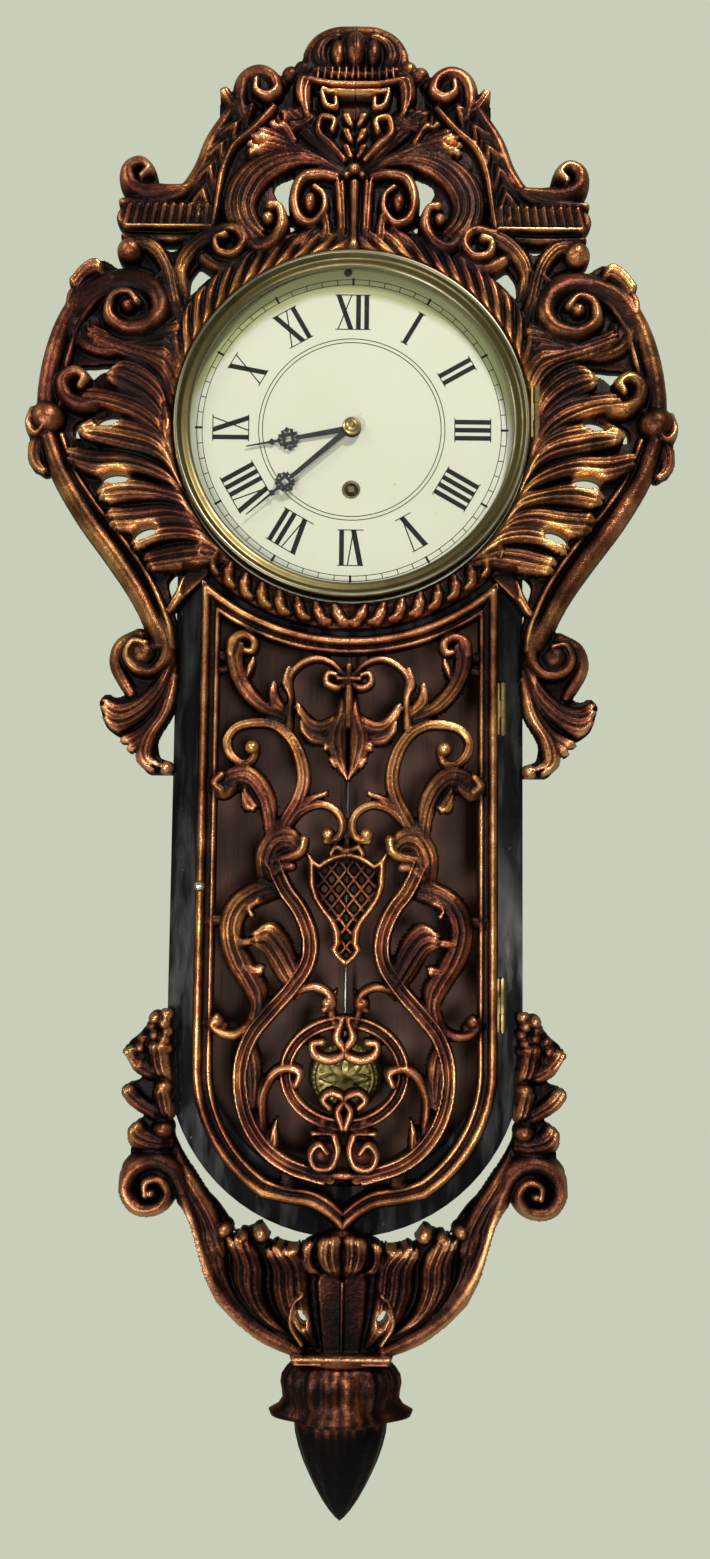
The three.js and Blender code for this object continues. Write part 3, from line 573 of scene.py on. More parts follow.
def closed_faces(cells, index, count):
    """Front, back and side faces of the used cells. A back vertex comes count places after its front one."""
    first, second = slice(0, -1), slice(1, None)
    order = ((first, first), (first, second), (second, second), (second, first))
    a, b, c, d = (index[rows, columns][cells] for rows, columns in order)
    faces = [np.stack([a, b, c, d], 1), np.stack([a, d, c, b], 1) + count]
    padded = np.pad(cells, 1)
    for axis, shift, p, q in ((0, 1, a, b), (0, -1, c, d), (1, 1, d, a), (1, -1, b, c)):
        border = ~np.roll(padded, shift, axis)[1:-1, 1:-1][cells]
        faces.append(np.stack([q, p, p + count, q + count], 1)[border])
    return np.vstack(faces)


def relief_objects(name, relief, back, material, body, stands_for):
    """Two meshes, left and right, from the drawn heights. Each is closed, with a flat back."""
    low, high = relief.low, relief.high
    margin = np.minimum(np.minimum(relief.z - low[2], high[2] - relief.z), relief.x - low[0])
    inside = np.minimum(relief.inside, margin)
    relief.height = np.minimum(relief.height, back - CAST_FRONT)
    solid = inside > 0
    cells = solid[:-1, :-1] | solid[1:, :-1] | solid[:-1, 1:] | solid[1:, 1:]
    used = np.zeros_like(solid)
    for rows in (slice(0, -1), slice(1, None)):
        for columns in (slice(0, -1), slice(1, None)):
            used[rows, columns] |= cells
    count = int(used.sum())
    index = np.full(inside.shape, -1)
    index[used] = np.arange(count)
    x, z = pulled_grid(relief, inside)
    height = np.where(solid, relief.height, 0.62 * relief.lift)
    front = np.stack([x[used], back - height[used], z[used]], 1)
    rear = np.stack([x[used], np.full(count, back), z[used]], 1)
    verts = np.vstack([front, rear])
    faces = closed_faces(cells, index, count)
    tone = np.concatenate([ridge_tone(relief, inside)[used], np.full(count, 0.3)])
    for side, mirror in (("left", 1), ("right", -1)):
        obj = mesh_object(f"{name}_{side}", verts * [mirror, 1, 1], faces[:, ::mirror], material)
        set_ridge(obj, tone)
        settle(obj, body, "casting", stands_for)


# ---- the head casting ----
RING_IN, RING_OUT = 117.0, 134.5


def draw_head_border(relief):
    """The border round the dial: slanting gadroons, and a row of curled ruffles below."""
    r = np.hypot(relief.x, relief.z)
    angle = np.arctan2(relief.x, relief.z)
    middle, half = (RING_IN + RING_OUT) / 2, (RING_OUT - RING_IN) / 2
    s = np.clip((r - middle) / half, -1, 1)
    round_over = np.sqrt(1 - s**2)
    rope = round_over**0.6 * (0.30 + 0.70 * np.abs(np.cos(30 * angle - 3.0 * s)) ** 0.6)
    above = 1 - np.clip((np.abs(angle) - math.radians(66)) / 0.16, 0, 1)
    below = np.clip((np.abs(angle) - math.radians(126)) / 0.12, 0, 1)
    relief.merge(EVERYWHERE, half - np.abs(r - middle), 8.2 + 6.2 * rope * above + 2.2 * below * round_over)
    for i in range(9):
        turn = math.radians(131 + 5.8 * i)
        comma = [(-radius * math.sin(turn + lean), radius * math.cos(turn + lean))
                 for radius, lean in ((120.5, -0.035), (126.5, -0.01), (130, 0.02), (130.5, 0.05))]
        relief.stroke(comma, [2.6, 5.0, 4.4, 2.4], [7, 9.5, 9, 7])
        relief.stroke(comma[2:], [2.4, 1.8], [11, 8])


def draw_head_tail(relief):
    """The volute and leaves that end the casting beside the trunk."""
    draw, leaf, ball = relief.stroke, relief.leaf, relief.ball
    draw([(-134, -141), (-145, -147), (-148, -158), (-143, -170), (-138, -178)], [6, 5.5, 5, 4], 7)
    leaf([(-112, -150), (-122, -168), (-134, -180), (-146, -184), (-157, -178)],
         [(-111, -160), (-118, -182), (-132, -197), (-146, -203), (-156, -196)], 3, 10, 3)
    leaf([(-111, -158), (-120, -182), (-132, -198), (-147, -206)], [(-110, -168), (-118, -192),
          (-126, -208), (-136, -218)], 2, 8, 2)
    leaf([(-113, -165), (-121, -190), (-132, -206), (-134, -220), (-125, -230)],
         [(-109, -165), (-112, -188), (-121, -205), (-123, -218), (-115, -221)], 2, 10, 2)
    ball(-115, -225, 5, 8)
    draw([(-126, -128), (-119, -142), (-117, -154), (-124, -163), (-135, -162), (-141, -154), (-137, -145),
          (-129, -146)], [6.5, 6.5, 6, 5.2, 4.8, 4.4, 3.8, 3], [9, 11, 13])
    ball(-131, -153, 11, 13)


def draw_head_rails(relief):
    """The long C-shaped rails at the sides, with a bud where they meet."""
    draw, leaf, ball = relief.stroke, relief.leaf, relief.ball
    draw([(-158, 94), (-173, 87), (-185, 70), (-193, 47), (-197, 24), (-198, 6)], [6, 7, 7.5, 7.5, 7], 10)
    draw([(-156, 87), (-168, 79), (-178, 63), (-184, 43), (-188, 22), (-189, 6)], [2.4, 2.6, 2.6, 2.6], 8)
    draw([(-196, -12), (-187, -35), (-171, -62), (-149, -92), (-134, -115), (-124, -136), (-121, -146)],
         [7, 7.5, 7.5, 7.5, 7, 6.5], 10)
    draw([(-187, -10), (-178, -34), (-162, -58), (-140, -86), (-126, -108), (-116, -132), (-113, -148)],
         [2.4, 2.6, 2.6, 2.6, 2.6], 8)
    leaf([(-203, -4), (-209, -16), (-208, -28), (-200, -36)], [(-194, -10), (-198, -18), (-199, -26),
          (-195, -33)], 2, 8, 0)
    ball(-197, 1, 12.5, 15)
    draw([(-206, 6), (-208, -4), (-203, -10), (-198, -6)], [3.5, 4, 3.6, 2.6], [10, 12])
    leaf([(-160, 100), (-168, 109), (-178, 104), (-186, 92)], [(-160, 91), (-166, 97), (-172, 94),
          (-178, 84)], 3, 11, 2)
    leaf([(-182, 92), (-187, 84), (-187, 76)], [(-174, 88), (-179, 80), (-181, 72)], 2, 10, 1)


def draw_head_scrolls(relief):
    """The big volutes above the sides, and the leaf arms that tie them to the ring."""
    draw, leaf, ball = relief.stroke, relief.leaf, relief.ball
    leaf([(-184, 74), (-181, 52), (-165, 43), (-148, 44), (-128, 52), (-112, 54)],
         [(-168, 70), (-164, 61), (-154, 57), (-144, 58), (-132, 63), (-114, 70)], 3, 9, 0, 0.02)
    draw([(-181, 58), (-181, 73), (-167, 88), (-149, 94), (-132, 89), (-125, 76), (-131, 64), (-146, 60),
          (-157, 68), (-155, 80), (-146, 83), (-140, 77)], [5, 7.6, 9.4, 10, 10, 9.4, 8.8, 8, 7, 6, 5, 4],
         [8, 10, 14, 16])
    ball(-148, 78, 17, 9)
    ball(-146, 75, 7, 15)
    leaf([(-119, 62), (-124, 84), (-128, 104), (-137, 114), (-146, 112)],
         [(-106, 62), (-112, 84), (-117, 104), (-128, 121), (-142, 126)], 3, 9, 0, 0.04)
    ball(-146, 115, 9.5, 12)
    leaf([(-118, 88), (-118, 104), (-112, 118), (-99, 130), (-84, 132)],
         [(-107, 84), (-109, 100), (-102, 112), (-93, 119), (-84, 122)], 3, 9, 0, 0.04)
    draw([(-92, 128), (-78, 130), (-72, 121), (-78, 112), (-88, 113), (-90, 121), (-84, 124)],
         [5, 5, 5, 4.8, 4.4, 3.8, 3], [9, 11, 13])
    draw([(-98, 111), (-85, 105), (-70, 111)], [5, 6, 4.5], 7)
    draw([(-124, 100), (-131, 90), (-122, 72)], [3, 3.5, 3], 8)


def draw_head_wing(relief):
    """The acanthus leaves that spread from the ring to the side rails."""
    draw, leaf, ball = relief.stroke, relief.leaf, relief.ball
    leaf([(-108, 52), (-120, 60), (-137, 55), (-157, 60), (-172, 66)],
         [(-118, 0), (-121, 20), (-132, 35), (-150, 42), (-172, 50)], 4, 10, 1)
    leaf([(-117, 8), (-123, 26), (-134, 37), (-146, 41), (-156, 34)],
         [(-114, -30), (-122, -6), (-134, 8), (-148, 17), (-160, 25)], 3, 11, 3, 0.06)
    leaf([(-117, -6), (-126, 10), (-139, 19), (-155, 21), (-171, 22)],
         [(-109, -44), (-120, -20), (-136, -4), (-155, 6), (-175, 9)], 3, 11, 1, 0.03)
    draw([(-160, 16), (-173, 11), (-184, 15), (-187, 25), (-180, 31), (-173, 27), (-175, 21)],
         [7, 8, 7.5, 7, 6.2, 5, 3.6], [9, 12, 14])
    leaf([(-114, -28), (-123, -10), (-134, -2), (-150, 2), (-163, 2), (-177, -5)],
         [(-102, -58), (-113, -38), (-126, -27), (-144, -22), (-160, -18), (-174, -13)], 3, 12, 3, 0.05)
    leaf([(-106, -50), (-117, -34), (-131, -25), (-148, -20), (-166, -19), (-184, -17)],
         [(-98, -66), (-109, -50), (-124, -41), (-142, -36), (-164, -38), (-182, -32)], 2, 11, 2, 0.05)
    leaf([(-100, -62), (-111, -46), (-124, -42), (-140, -38), (-153, -38), (-163, -46)],
         [(-90, -77), (-101, -64), (-116, -56), (-134, -55), (-149, -57), (-160, -56)], 2, 12, 3, 0.06)
    leaf([(-95, -70), (-106, -58), (-122, -54), (-140, -56), (-158, -58)],
         [(-84, -84), (-96, -74), (-112, -70), (-132, -74), (-152, -76)], 2, 11, 3, 0.06)
    ball(-157, -50, 6.5, 12)
    leaf([(-88, -79), (-100, -69), (-116, -67), (-130, -71), (-140, -79)],
         [(-76, -91), (-90, -84), (-106, -80), (-124, -82), (-137, -88)], 2, 12, 3, 0.06)
    leaf([(-82, -86), (-96, -80), (-114, -81), (-133, -88)], [(-72, -94), (-88, -95), (-108, -98),
          (-128, -101)], 2, 10, 3, 0.06)
    ball(-133, -81, 5, 12)
    leaf([(-96, -92), (-106, -100), (-112, -112), (-119, -124)], [(-90, -98), (-98, -106), (-106, -114),
          (-114, -126)], 2, 6, 0)


def draw_head_shelves(relief):
    """The gadrooned shelves with scrolls on them, and the mouldings that rise from them."""
    draw, leaf, ball = relief.stroke, relief.leaf, relief.ball
    draw([(-150, 126), (-120, 125), (-94, 127)], [3.5, 3.5, 3.5], 5)
    draw([(-148, 139), (-95, 139)], [8.6], 5, "flat")
    for i in range(10):
        x = -148 + 5.8 * i
        draw([(x - 1.6, 133), (x + 1.6 - 0.2 * i, 145)], [3.4, 3.8], [7, 8.5])
    draw([(-149, 130.4), (-94, 130.4)], [1.7, 1.7], 10)
    draw([(-152, 148.5), (-130, 150), (-113, 156), (-102, 171), (-94, 192), (-85, 207), (-77, 220)],
         [3.4, 4.2, 5, 5.4, 5.4, 5, 4.4], [7, 8])
    draw([(-102, 138), (-100, 152), (-96, 168), (-88, 186), (-77, 203), (-68, 214)],
         [9, 9.4, 9.4, 9, 8.4, 7.4], 9, "lobed")
    draw([(-93, 130), (-90, 150), (-87, 170), (-80, 187), (-66, 200), (-54, 214)], [3, 3.4, 3.8, 3.8, 3.4], 8)
    draw([(-112, 158), (-126, 156), (-138, 156), (-147, 161), (-148, 170), (-141, 174), (-135, 169),
          (-139, 163)], [3.5, 5, 7, 7.4, 7, 6, 4.8, 3.6], [8, 10, 13])
    leaf([(-74, 204), (-84, 212), (-91, 224)], [(-72, 214), (-78, 220), (-84, 227)], 2, 9, 1)
    ball(-63, 229, 15, 9)
    draw([(-74, 208), (-76, 220), (-73, 232), (-64, 237), (-55, 233), (-52, 224), (-58, 219), (-65, 222),
          (-65, 229)], [5.4, 6, 6.6, 7, 6.6, 5.6, 4.8, 4, 3], [9, 11, 13, 15])


def draw_head_crown(relief):
    """The top: a shell on a shelf."""
    draw, leaf, ball = relief.stroke, relief.leaf, relief.ball
    for x, z, r in ((-50, 231, 7), (-43, 238, 6.5), (-35, 242, 6.5), (-30, 236, 6)):
        ball(x, z, r, 8)
    ball(0, 249, 33, 7, lift=7, flat=0.67)
    draw([(-29, 238), (-31, 250), (-25, 261), (-14, 267), (0, 268)], [4.6], 4, lift=9)
    leaf([(-25, 238), (-29, 250), (-24, 260), (-12, 265)], [(-16, 238), (-19, 250), (-17, 257), (-9, 261)],
         2, 6, 1, lift=10)
    ball(-11.5, 250, 5.6, 8, lift=12, flat=1.8)
    ball(0, 252, 8, 10.5, lift=12, flat=1.7)
    draw([(-27, 238.5), (-14, 236), (0, 235.5)], [3.6, 3.6], 10)
    for i in range(6):
        draw([(-25 + 4.6 * i, 233), (-24.5 + 4.6 * i, 239)], [2.2, 2.2], 11)
    draw([(-31, 232), (-16, 229), (0, 228.5)], [3.2, 3.2], 11)
    draw([(-22, 224), (-12, 223), (0, 222.8)], [1.3, 1.3], 12)
    leaf([(-26, 240), (-38, 236), (-40, 222), (-34, 208)], [(-24, 230), (-28, 226), (-29, 216), (-29, 206)],
         2, 11, 0)
    leaf([(-28, 214), (-36, 206), (-44, 205)], [(-22, 208), (-32, 199), (-40, 196)], 2, 9, 1)
    draw([(-22, 223), (-19, 214), (-13, 213), (-13, 219)], [2.6, 2.8, 2.4, 2], 11)


def draw_head_palmette(relief):
    """The fan of leaves in the middle, and the scrolls that carry it."""
    draw, leaf, ball = relief.stroke, relief.leaf, relief.ball
    leaf([(-3, 174), (-12, 190), (-22, 206), (-32, 216)], [(-6, 170), (-24, 184), (-40, 198), (-56, 210)],
         5, 7, 2)
    leaf([(-6, 172), (-26, 184), (-46, 196), (-64, 202)], [(-7, 167), (-30, 177), (-52, 180), (-74, 180)],
         4, 8, 3)
    for z in (205, 194, 183):
        leaf([(0, z - 4), (-1, z + 1), (-3, z + 5)], [(-2, z - 5), (-7, z - 1), (-9, z + 5)], 1, 7, 1)
    draw([(-7, 178), (-16, 188), (-24, 196), (-22, 206), (-14, 204), (-15, 197)],
         [3, 4.4, 4.4, 4, 3.4, 2.6], [8, 11])
    draw([(-40, 190), (-46, 200), (-54, 202)], [4, 5, 3.6], 9)
    ball(0, 169, 5.5, 14)
    ball(-5, 166, 3.6, 11)
    draw([(0, 118), (0, 160)], [4.4, 4.4], [10, 12])
    leaf([(-3, 118), (-4, 140), (-5, 162)], [(-12, 118), (-12, 140), (-14, 164)], 2, 10, 0)
    leaf([(-12, 120), (-14, 132), (-17, 142)], [(-24, 120), (-22, 130), (-22, 138)], 2, 9, 1)
    leaf([(-24, 118), (-24, 126), (-22, 132)], [(-48, 114), (-40, 124), (-28, 131)], 3, 8, 0)
    draw([(-12, 166), (-22, 168), (-34, 165), (-39, 152), (-36, 138), (-27, 134), (-20, 142), (-20, 152),
          (-26, 158)], [4.5, 5, 5, 4.6, 4.4, 4.2, 3.8, 3.2, 2.6], [9, 11])
    ball(-29, 148, 5.2, 12, flat=1.6)
    leaf([(-8, 176), (-30, 184), (-56, 184), (-76, 172), (-86, 152), (-82, 130), (-68, 117)],
         [(-8, 168), (-28, 174), (-46, 170), (-58, 160), (-64, 146), (-60, 134), (-54, 128)], 4, 9, 2, 0.04)
    draw([(-72, 126), (-62, 118), (-52, 122), (-47, 132), (-49, 143), (-55, 144)],
         [6, 7, 6.4, 5.4, 4.4, 3.4], [9, 12, 14])
    ball(-56, 136, 5.4, 13)
    for x, z, rx, rz, lean in ((-63, 189, 4.6, 2.4, 20), (-50, 205, 2.6, 4.2, -10), (-20, 199, 2.6, 1.8, 0)):
        relief.hole(x, z, rx, rz, lean)


def low_by_swings(relief):
    """Keeps the relief low where the opened bezel and the opened door come past it."""
    x, z = relief.x, relief.z
    bezel_edge = -121
    by_bezel = 14.2 + 0.8 * np.maximum(bezel_edge - x, 0) + 0.15 * np.abs(z)
    door_left, door_right, door_low, door_high = -106, -93, -113, -99
    off_x = np.maximum(door_left - x, 0) + np.maximum(x - door_right, 0)
    off_z = np.maximum(z - door_high, 0) + np.maximum(door_low - z, 0)
    by_door = 8.2 + 1.2 * (off_x + off_z)
    relief.height = np.minimum(relief.height, np.minimum(by_bezel, by_door))


def make_head(material):
    relief = Relief(HEAD_LOW, HEAD_HIGH, 6.5)
    relief.ground("head_casting", 2.2)
    keep = relief.inside.copy()
    draw_head_wing(relief)
    draw_head_rails(relief)
    draw_head_scrolls(relief)
    draw_head_tail(relief)
    draw_head_shelves(relief)
    draw_head_palmette(relief)
    draw_head_crown(relief)
    draw_head_border(relief)
    relief.inside = np.minimum(relief.inside, np.hypot(relief.x, relief.z) - RING_IN)
    pocket_low, pocket_high, pocket_side = -11.0, 27.0, -127.5
    near_hinge = (relief.z > pocket_low) & (relief.z < pocket_high) & (relief.x > pocket_side)
    relief.inside = np.minimum(relief.inside, np.where(near_hinge, keep, -OUTSIDE))
    for x, z, rx, lean in ((-158, 0, 9, 12), (-152, -38, 10, 0), (-132, -74, 9, 21)):
        relief.hole(x, z, rx, 5, lean)
    low_by_swings(relief)
    relief_objects("head_relief", relief, CAST_BACK, material, "clock", "head_casting")


# ---- the door ----
DOOR_HALF = DOOR_HIGH[0]
DOOR_TOP_R = 139.0


def door_line(inset):
    """The left half of a line inside the door's edge: hollow top, straight side, round foot, point."""
    half = DOOR_HALF - inset
    top = DOOR_TOP_R + 0.85 * inset
    corner = math.asin(half / top)
    points = [(-top * math.sin(a), -top * math.cos(a)) for a in np.linspace(0, corner, 40)]
    foot = -409 - 0.15 * inset
    turn = math.acos((50 - 0.15 * inset) / half)
    points += [(-half * math.cos(a), foot - half * math.sin(a)) for a in np.linspace(0, turn, 30)]
    tip = [points[-1], (-36, -493 + 0.75 * inset), (-20, -496 + 0.8 * inset), (-9, -502 + 0.85 * inset),
           (0, -510 + 0.92 * inset)]
    curve, _ = smooth_line(tip)
    return points + [tuple(p) for p in curve[1:]]


def draw_door_rail(relief):
    draw = relief.stroke
    draw(door_line(6.5), 6.6, 1.5, "flat", straight=True)
    for inset, half, rise in ((4.0, 3.4, 6.4), (0.9, 0.9, 2.6), (8.1, 0.8, 3.4), (11.2, 2.0, 5.2)):
        draw(door_line(inset), half, rise, straight=True)


def draw_door_top(relief):
    """The scrolls and the hanging bud at the top of the grille."""
    draw, leaf = relief.stroke, relief.leaf
    draw([(-86, -149), (-79, -153), (-73, -154)], [3.4, 3.4, 4.4], 3)
    draw([(-86, -162), (-78, -160), (-73, -156)], [2.6, 3, 3], 3)
    leaf([(-38, -188), (-52, -181), (-62, -170), (-67, -156), (-64, -147)],
         [(-39, -196), (-58, -188), (-72, -173), (-79, -154), (-76, -139)], 2, 7, 0, 0.02)
    draw([(-76, -150), (-74, -142), (-67, -139), (-61, -143), (-62, -149), (-66, -149)],
         [3.6, 4.2, 4.4, 4, 3.4, 2.6], [7, 9])
    leaf([(-66, -170), (-62, -163), (-60, -156)], [(-66, -160), (-63, -154), (-61, -152)], 1, 7, 1)
    draw([(-38, -198), (-37, -180), (-38, -166), (-31, -157), (-21, -153), (-11, -156), (-3, -164)],
         [3.6, 3, 2.8, 2.8, 2.8, 2.6, 2.4], 5.5)
    leaf([(-38, -190), (-38, -180), (-43, -170), (-39, -159)], [(-38, -180), (-37, -172), (-38, -165),
          (-37, -158)], 2, 7, 1, 0.15)
    leaf([(-37, -194), (-43, -190), (-51, -184), (-50, -170)], [(-37, -186), (-41, -182), (-44, -177),
          (-46, -168)], 2, 7, 1, 0.15)
    draw([(0, -168), (-7, -172), (-14, -169), (-13, -163), (-8, -164)], [2.8, 3, 3, 2.6, 2.2], [6, 8])
    draw([(0, -158), (0, -176)], [3, 3.2], 7)
    draw([(-7, -166.5), (0, -166.5)], [2, 2.4], 8)
    leaf([(-3, -184), (-12, -191), (-22, -192), (-33, -180)], [(-4, -197), (-12, -202), (-23, -202),
          (-34, -188)], 2, 7, 2, 0.04)
    leaf([(-3, -194), (-12, -201), (-22, -201), (-31, -191)], [(-4, -204), (-12, -209), (-24, -208),
          (-31, -200)], 2, 6.5, 1, 0.04)
    leaf([(0, -176), (0, -202), (0, -231)], [(-5, -176), (-8, -190), (-15, -205), (-10, -220), (-1, -231)],
         2, 8, 0, 0.02)
    leaf([(-4, -196), (-10, -204), (-16, -207)], [(-2, -205), (-9, -212), (-15, -214)], 1, 7, 1)
    leaf([(-3, -206), (-9, -214), (-13, -217)], [(0, -214), (-5, -222), (-8, -225)], 1, 7, 1)
    draw([(0, -172), (0, -196)], [3.4, 4.4], 9)


def draw_door_sides(relief):
    """The big S-scrolls, the leaf arms at the rails, and the curls over the shield."""
    draw, leaf, ball = relief.stroke, relief.leaf, relief.ball
    draw([(-59, -214), (-62, -220), (-68, -221), (-75, -215), (-77, -206), (-71, -198), (-60, -195),
          (-48, -196), (-38, -203), (-31, -215), (-28, -230), (-31, -244), (-38, -257), (-45, -270)],
         [3, 3.2, 3.4, 3.2, 3.2, 3.6, 4, 4.2, 4.6, 4.8, 5, 5.2, 5.6, 6], [5.5, 6.5, 7.5], "ridges")
    ball(-61, -211, 5.2, 9)
    draw([(-86, -238), (-79, -240), (-72, -236)], [3.4, 5, 4.4], 5)
    leaf([(-84, -232), (-76, -224), (-63, -222), (-52, -231), (-45, -246), (-43, -268)],
         [(-80, -240), (-72, -236), (-64, -236), (-58, -244), (-54, -256), (-52, -274)], 3, 7.5, 0, 0.02)
    draw([(-80, -238), (-84, -234), (-80, -229)], [4.4, 4.8, 3.4], [7, 8])
    leaf([(-68, -232), (-62, -238), (-56, -248)], [(-68, -240), (-66, -250), (-60, -252)], 2, 7, 1, 0.15)
    draw([(-41, -266), (-33, -254), (-24, -248), (-14, -247), (-6, -252), (-3, -260), (-6, -268),
          (-13, -270)], [3.8, 3.8, 3.4, 3, 3, 3, 3, 2.6], [6, 6.5], "ridges")
    leaf([(-32, -254), (-25, -245), (-12, -238)], [(-28, -248), (-22, -243), (-13, -239)], 1, 7, 1)
    leaf([(-33, -253), (-26, -242), (-13, -239)], [(-26, -249), (-20, -245), (-13, -241)], 2, 6.5, 1)
    ball(-12, -266, 4.8, 8)
    draw([(0, -258), (0, -282)], [3, 3], 4.5)
    leaf([(-57, -296), (-57, -276), (-47, -261), (-33, -262), (-27, -272)],
         [(-42, -298), (-44, -286), (-42, -279), (-37, -277), (-33, -280)], 3, 9, 0, 0.03)
    ball(-37, -270, 9, 8)
    draw([(-46, -282), (-36, -280), (-29, -276), (-27, -269)], [4.4, 5, 4.4, 3.4], [8, 11])
    draw([(-47, -292), (-41, -287), (-35, -286)], [4.8, 5, 3.6], 8)


# Half the shield's width at each height: z, half-width.
SHIELD_HALF = ((-277, 26.5), (-284, 25), (-298, 24.5), (-306, 22), (-313, 17.5), (-320, 12), (-326, 9.2),
               (-334, 8.6),
               (-338, 10.5), (-342, 8), (-348, 1.5))


def draw_shield(relief):
    """The shield with its lattice, crest and foot."""
    draw, ball = relief.stroke, relief.ball
    x, z = relief.x, relief.z
    levels, halves = np.transpose(SHIELD_HALF)
    half = np.interp(-z, -levels, halves)
    crest = -276 - 7 * np.clip(np.abs(x) / 17, 0, 1) ** 2 + 7 * np.clip((np.abs(x) - 17) / 8, 0, 1) ** 1.5
    field = np.minimum(np.minimum(half - np.abs(x), crest - z), z + 349)
    pitch = 9.4
    p = (x + 0.78 * (z + 300)) / pitch
    q = (x - 0.78 * (z + 300)) / pitch
    off = np.minimum(np.abs(p - np.round(p)), np.abs(q - np.round(q))) * pitch / math.sqrt(2)
    bars = np.clip(1 - off / 1.7, -1, 1)
    rim = np.clip(1 - np.abs(field - 2.9) / 3.3, -1, 1)
    solid = np.maximum(bars, rim) * 1.9
    height = relief.lift + np.maximum(3.6 * np.sqrt(np.clip(bars, 0, 1)), 7 * np.sqrt(np.clip(rim, 0, 1)))
    relief.merge(EVERYWHERE, np.minimum(solid, field), height)
    draw([(-2, -276), (-7, -274), (-10, -278)], [2.8, 3, 2], 6)
    ball(0, -276, 3.2, 7)


def draw_door_stems(relief):
    """The two long stems that run down to the foot, with the leaves on them."""
    draw, leaf, ball = relief.stroke, relief.leaf, relief.ball
    stem = [(-46, -284), (-39, -300), (-29, -314), (-23, -330), (-24, -346), (-34, -362),
            (-47, -377), (-58, -391),
            (-64, -408), (-64, -426), (-59, -444), (-49, -459), (-36, -469), (-22, -474), (-8, -478)]
    widths = [5.4, 5.8, 6, 6, 6, 5.8, 5.6, 5.4, 5.4, 5.6, 5.8, 6, 5.6, 5, 4]
    draw(stem, widths, [7, 8, 8, 8], "ridges")
    line, _ = smooth_line(stem)
    ahead = np.gradient(line, axis=0)
    ahead /= np.linalg.norm(ahead, axis=1)[:, None]
    aside = np.stack([-ahead[:, 1], ahead[:, 0]], 1)
    for shift in (-3.6, 3.6):
        draw((line + aside * shift)[::6], 1.0, 9.2)
    leaf([(-42, -292), (-58, -296), (-72, -305), (-80, -322), (-77, -342), (-68, -358), (-60, -372),
          (-62, -384)], [(-42, -306), (-53, -310), (-61, -316), (-65, -324), (-63, -336), (-56, -349),
          (-48, -363), (-50, -380)], 2, 8, 0, 0.01)
    draw([(-57, -378), (-60, -386), (-68, -391), (-77, -390), (-83, -385), (-80, -380)],
         [4.6, 4.4, 4, 3.6, 3.2, 2.6], [7, 7])
    leaf([(-52, -304), (-58, -306), (-63, -311), (-60, -318)], [(-50, -309), (-56, -311), (-59, -314),
          (-57, -317)], 1, 8, 1)
    leaf([(-70, -322), (-66, -330), (-60, -330)], [(-73, -332), (-68, -338), (-58, -336)], 1, 8, 1)
    leaf([(-67, -338), (-60, -347), (-51, -347)], [(-69, -348), (-62, -354), (-52, -354)], 2, 8, 1)
    leaf([(-62, -350), (-56, -362), (-52, -366)], [(-66, -358), (-60, -370), (-54, -374)], 2, 7, 1)
    draw([(-86, -321), (-79, -320), (-73, -321)], [4.2, 4.6, 4.6], 4.5)
    draw([(-86, -384), (-80, -385), (-76, -386)], [3.4, 3.8, 3.8], 4.5)
    ball(-80, -383, 5, 7.5)
    leaf([(-24, -362), (-29, -346), (-36, -331), (-47, -321), (-60, -327)],
         [(-31, -370), (-42, -357), (-48, -347), (-52, -340), (-58, -337)], 3, 9.5, 2, 0.10)
    ball(-55, -332, 5, 10)
    draw([(-50, -384), (-41, -371), (-31, -364), (-20, -361), (-11, -365), (-8, -372), (-13, -375)],
         [3.4, 3.6, 3.4, 3.4, 3.4, 3.2, 2.8], [6.5, 7])
    ball(-11, -371, 4.8, 8)
    leaf([(-5, -362), (-6, -372), (-4, -386)], [(-12, -370), (-12, -378), (-8, -386)], 1, 6.5, 0)


def half_ellipse(half_x, half_z):
    """The left half of an ellipse round the bob's middle."""
    middle_z = -414
    return [(-half_x * math.sin(a), middle_z + half_z * math.cos(a)) for a in np.linspace(0, math.pi, 46)]


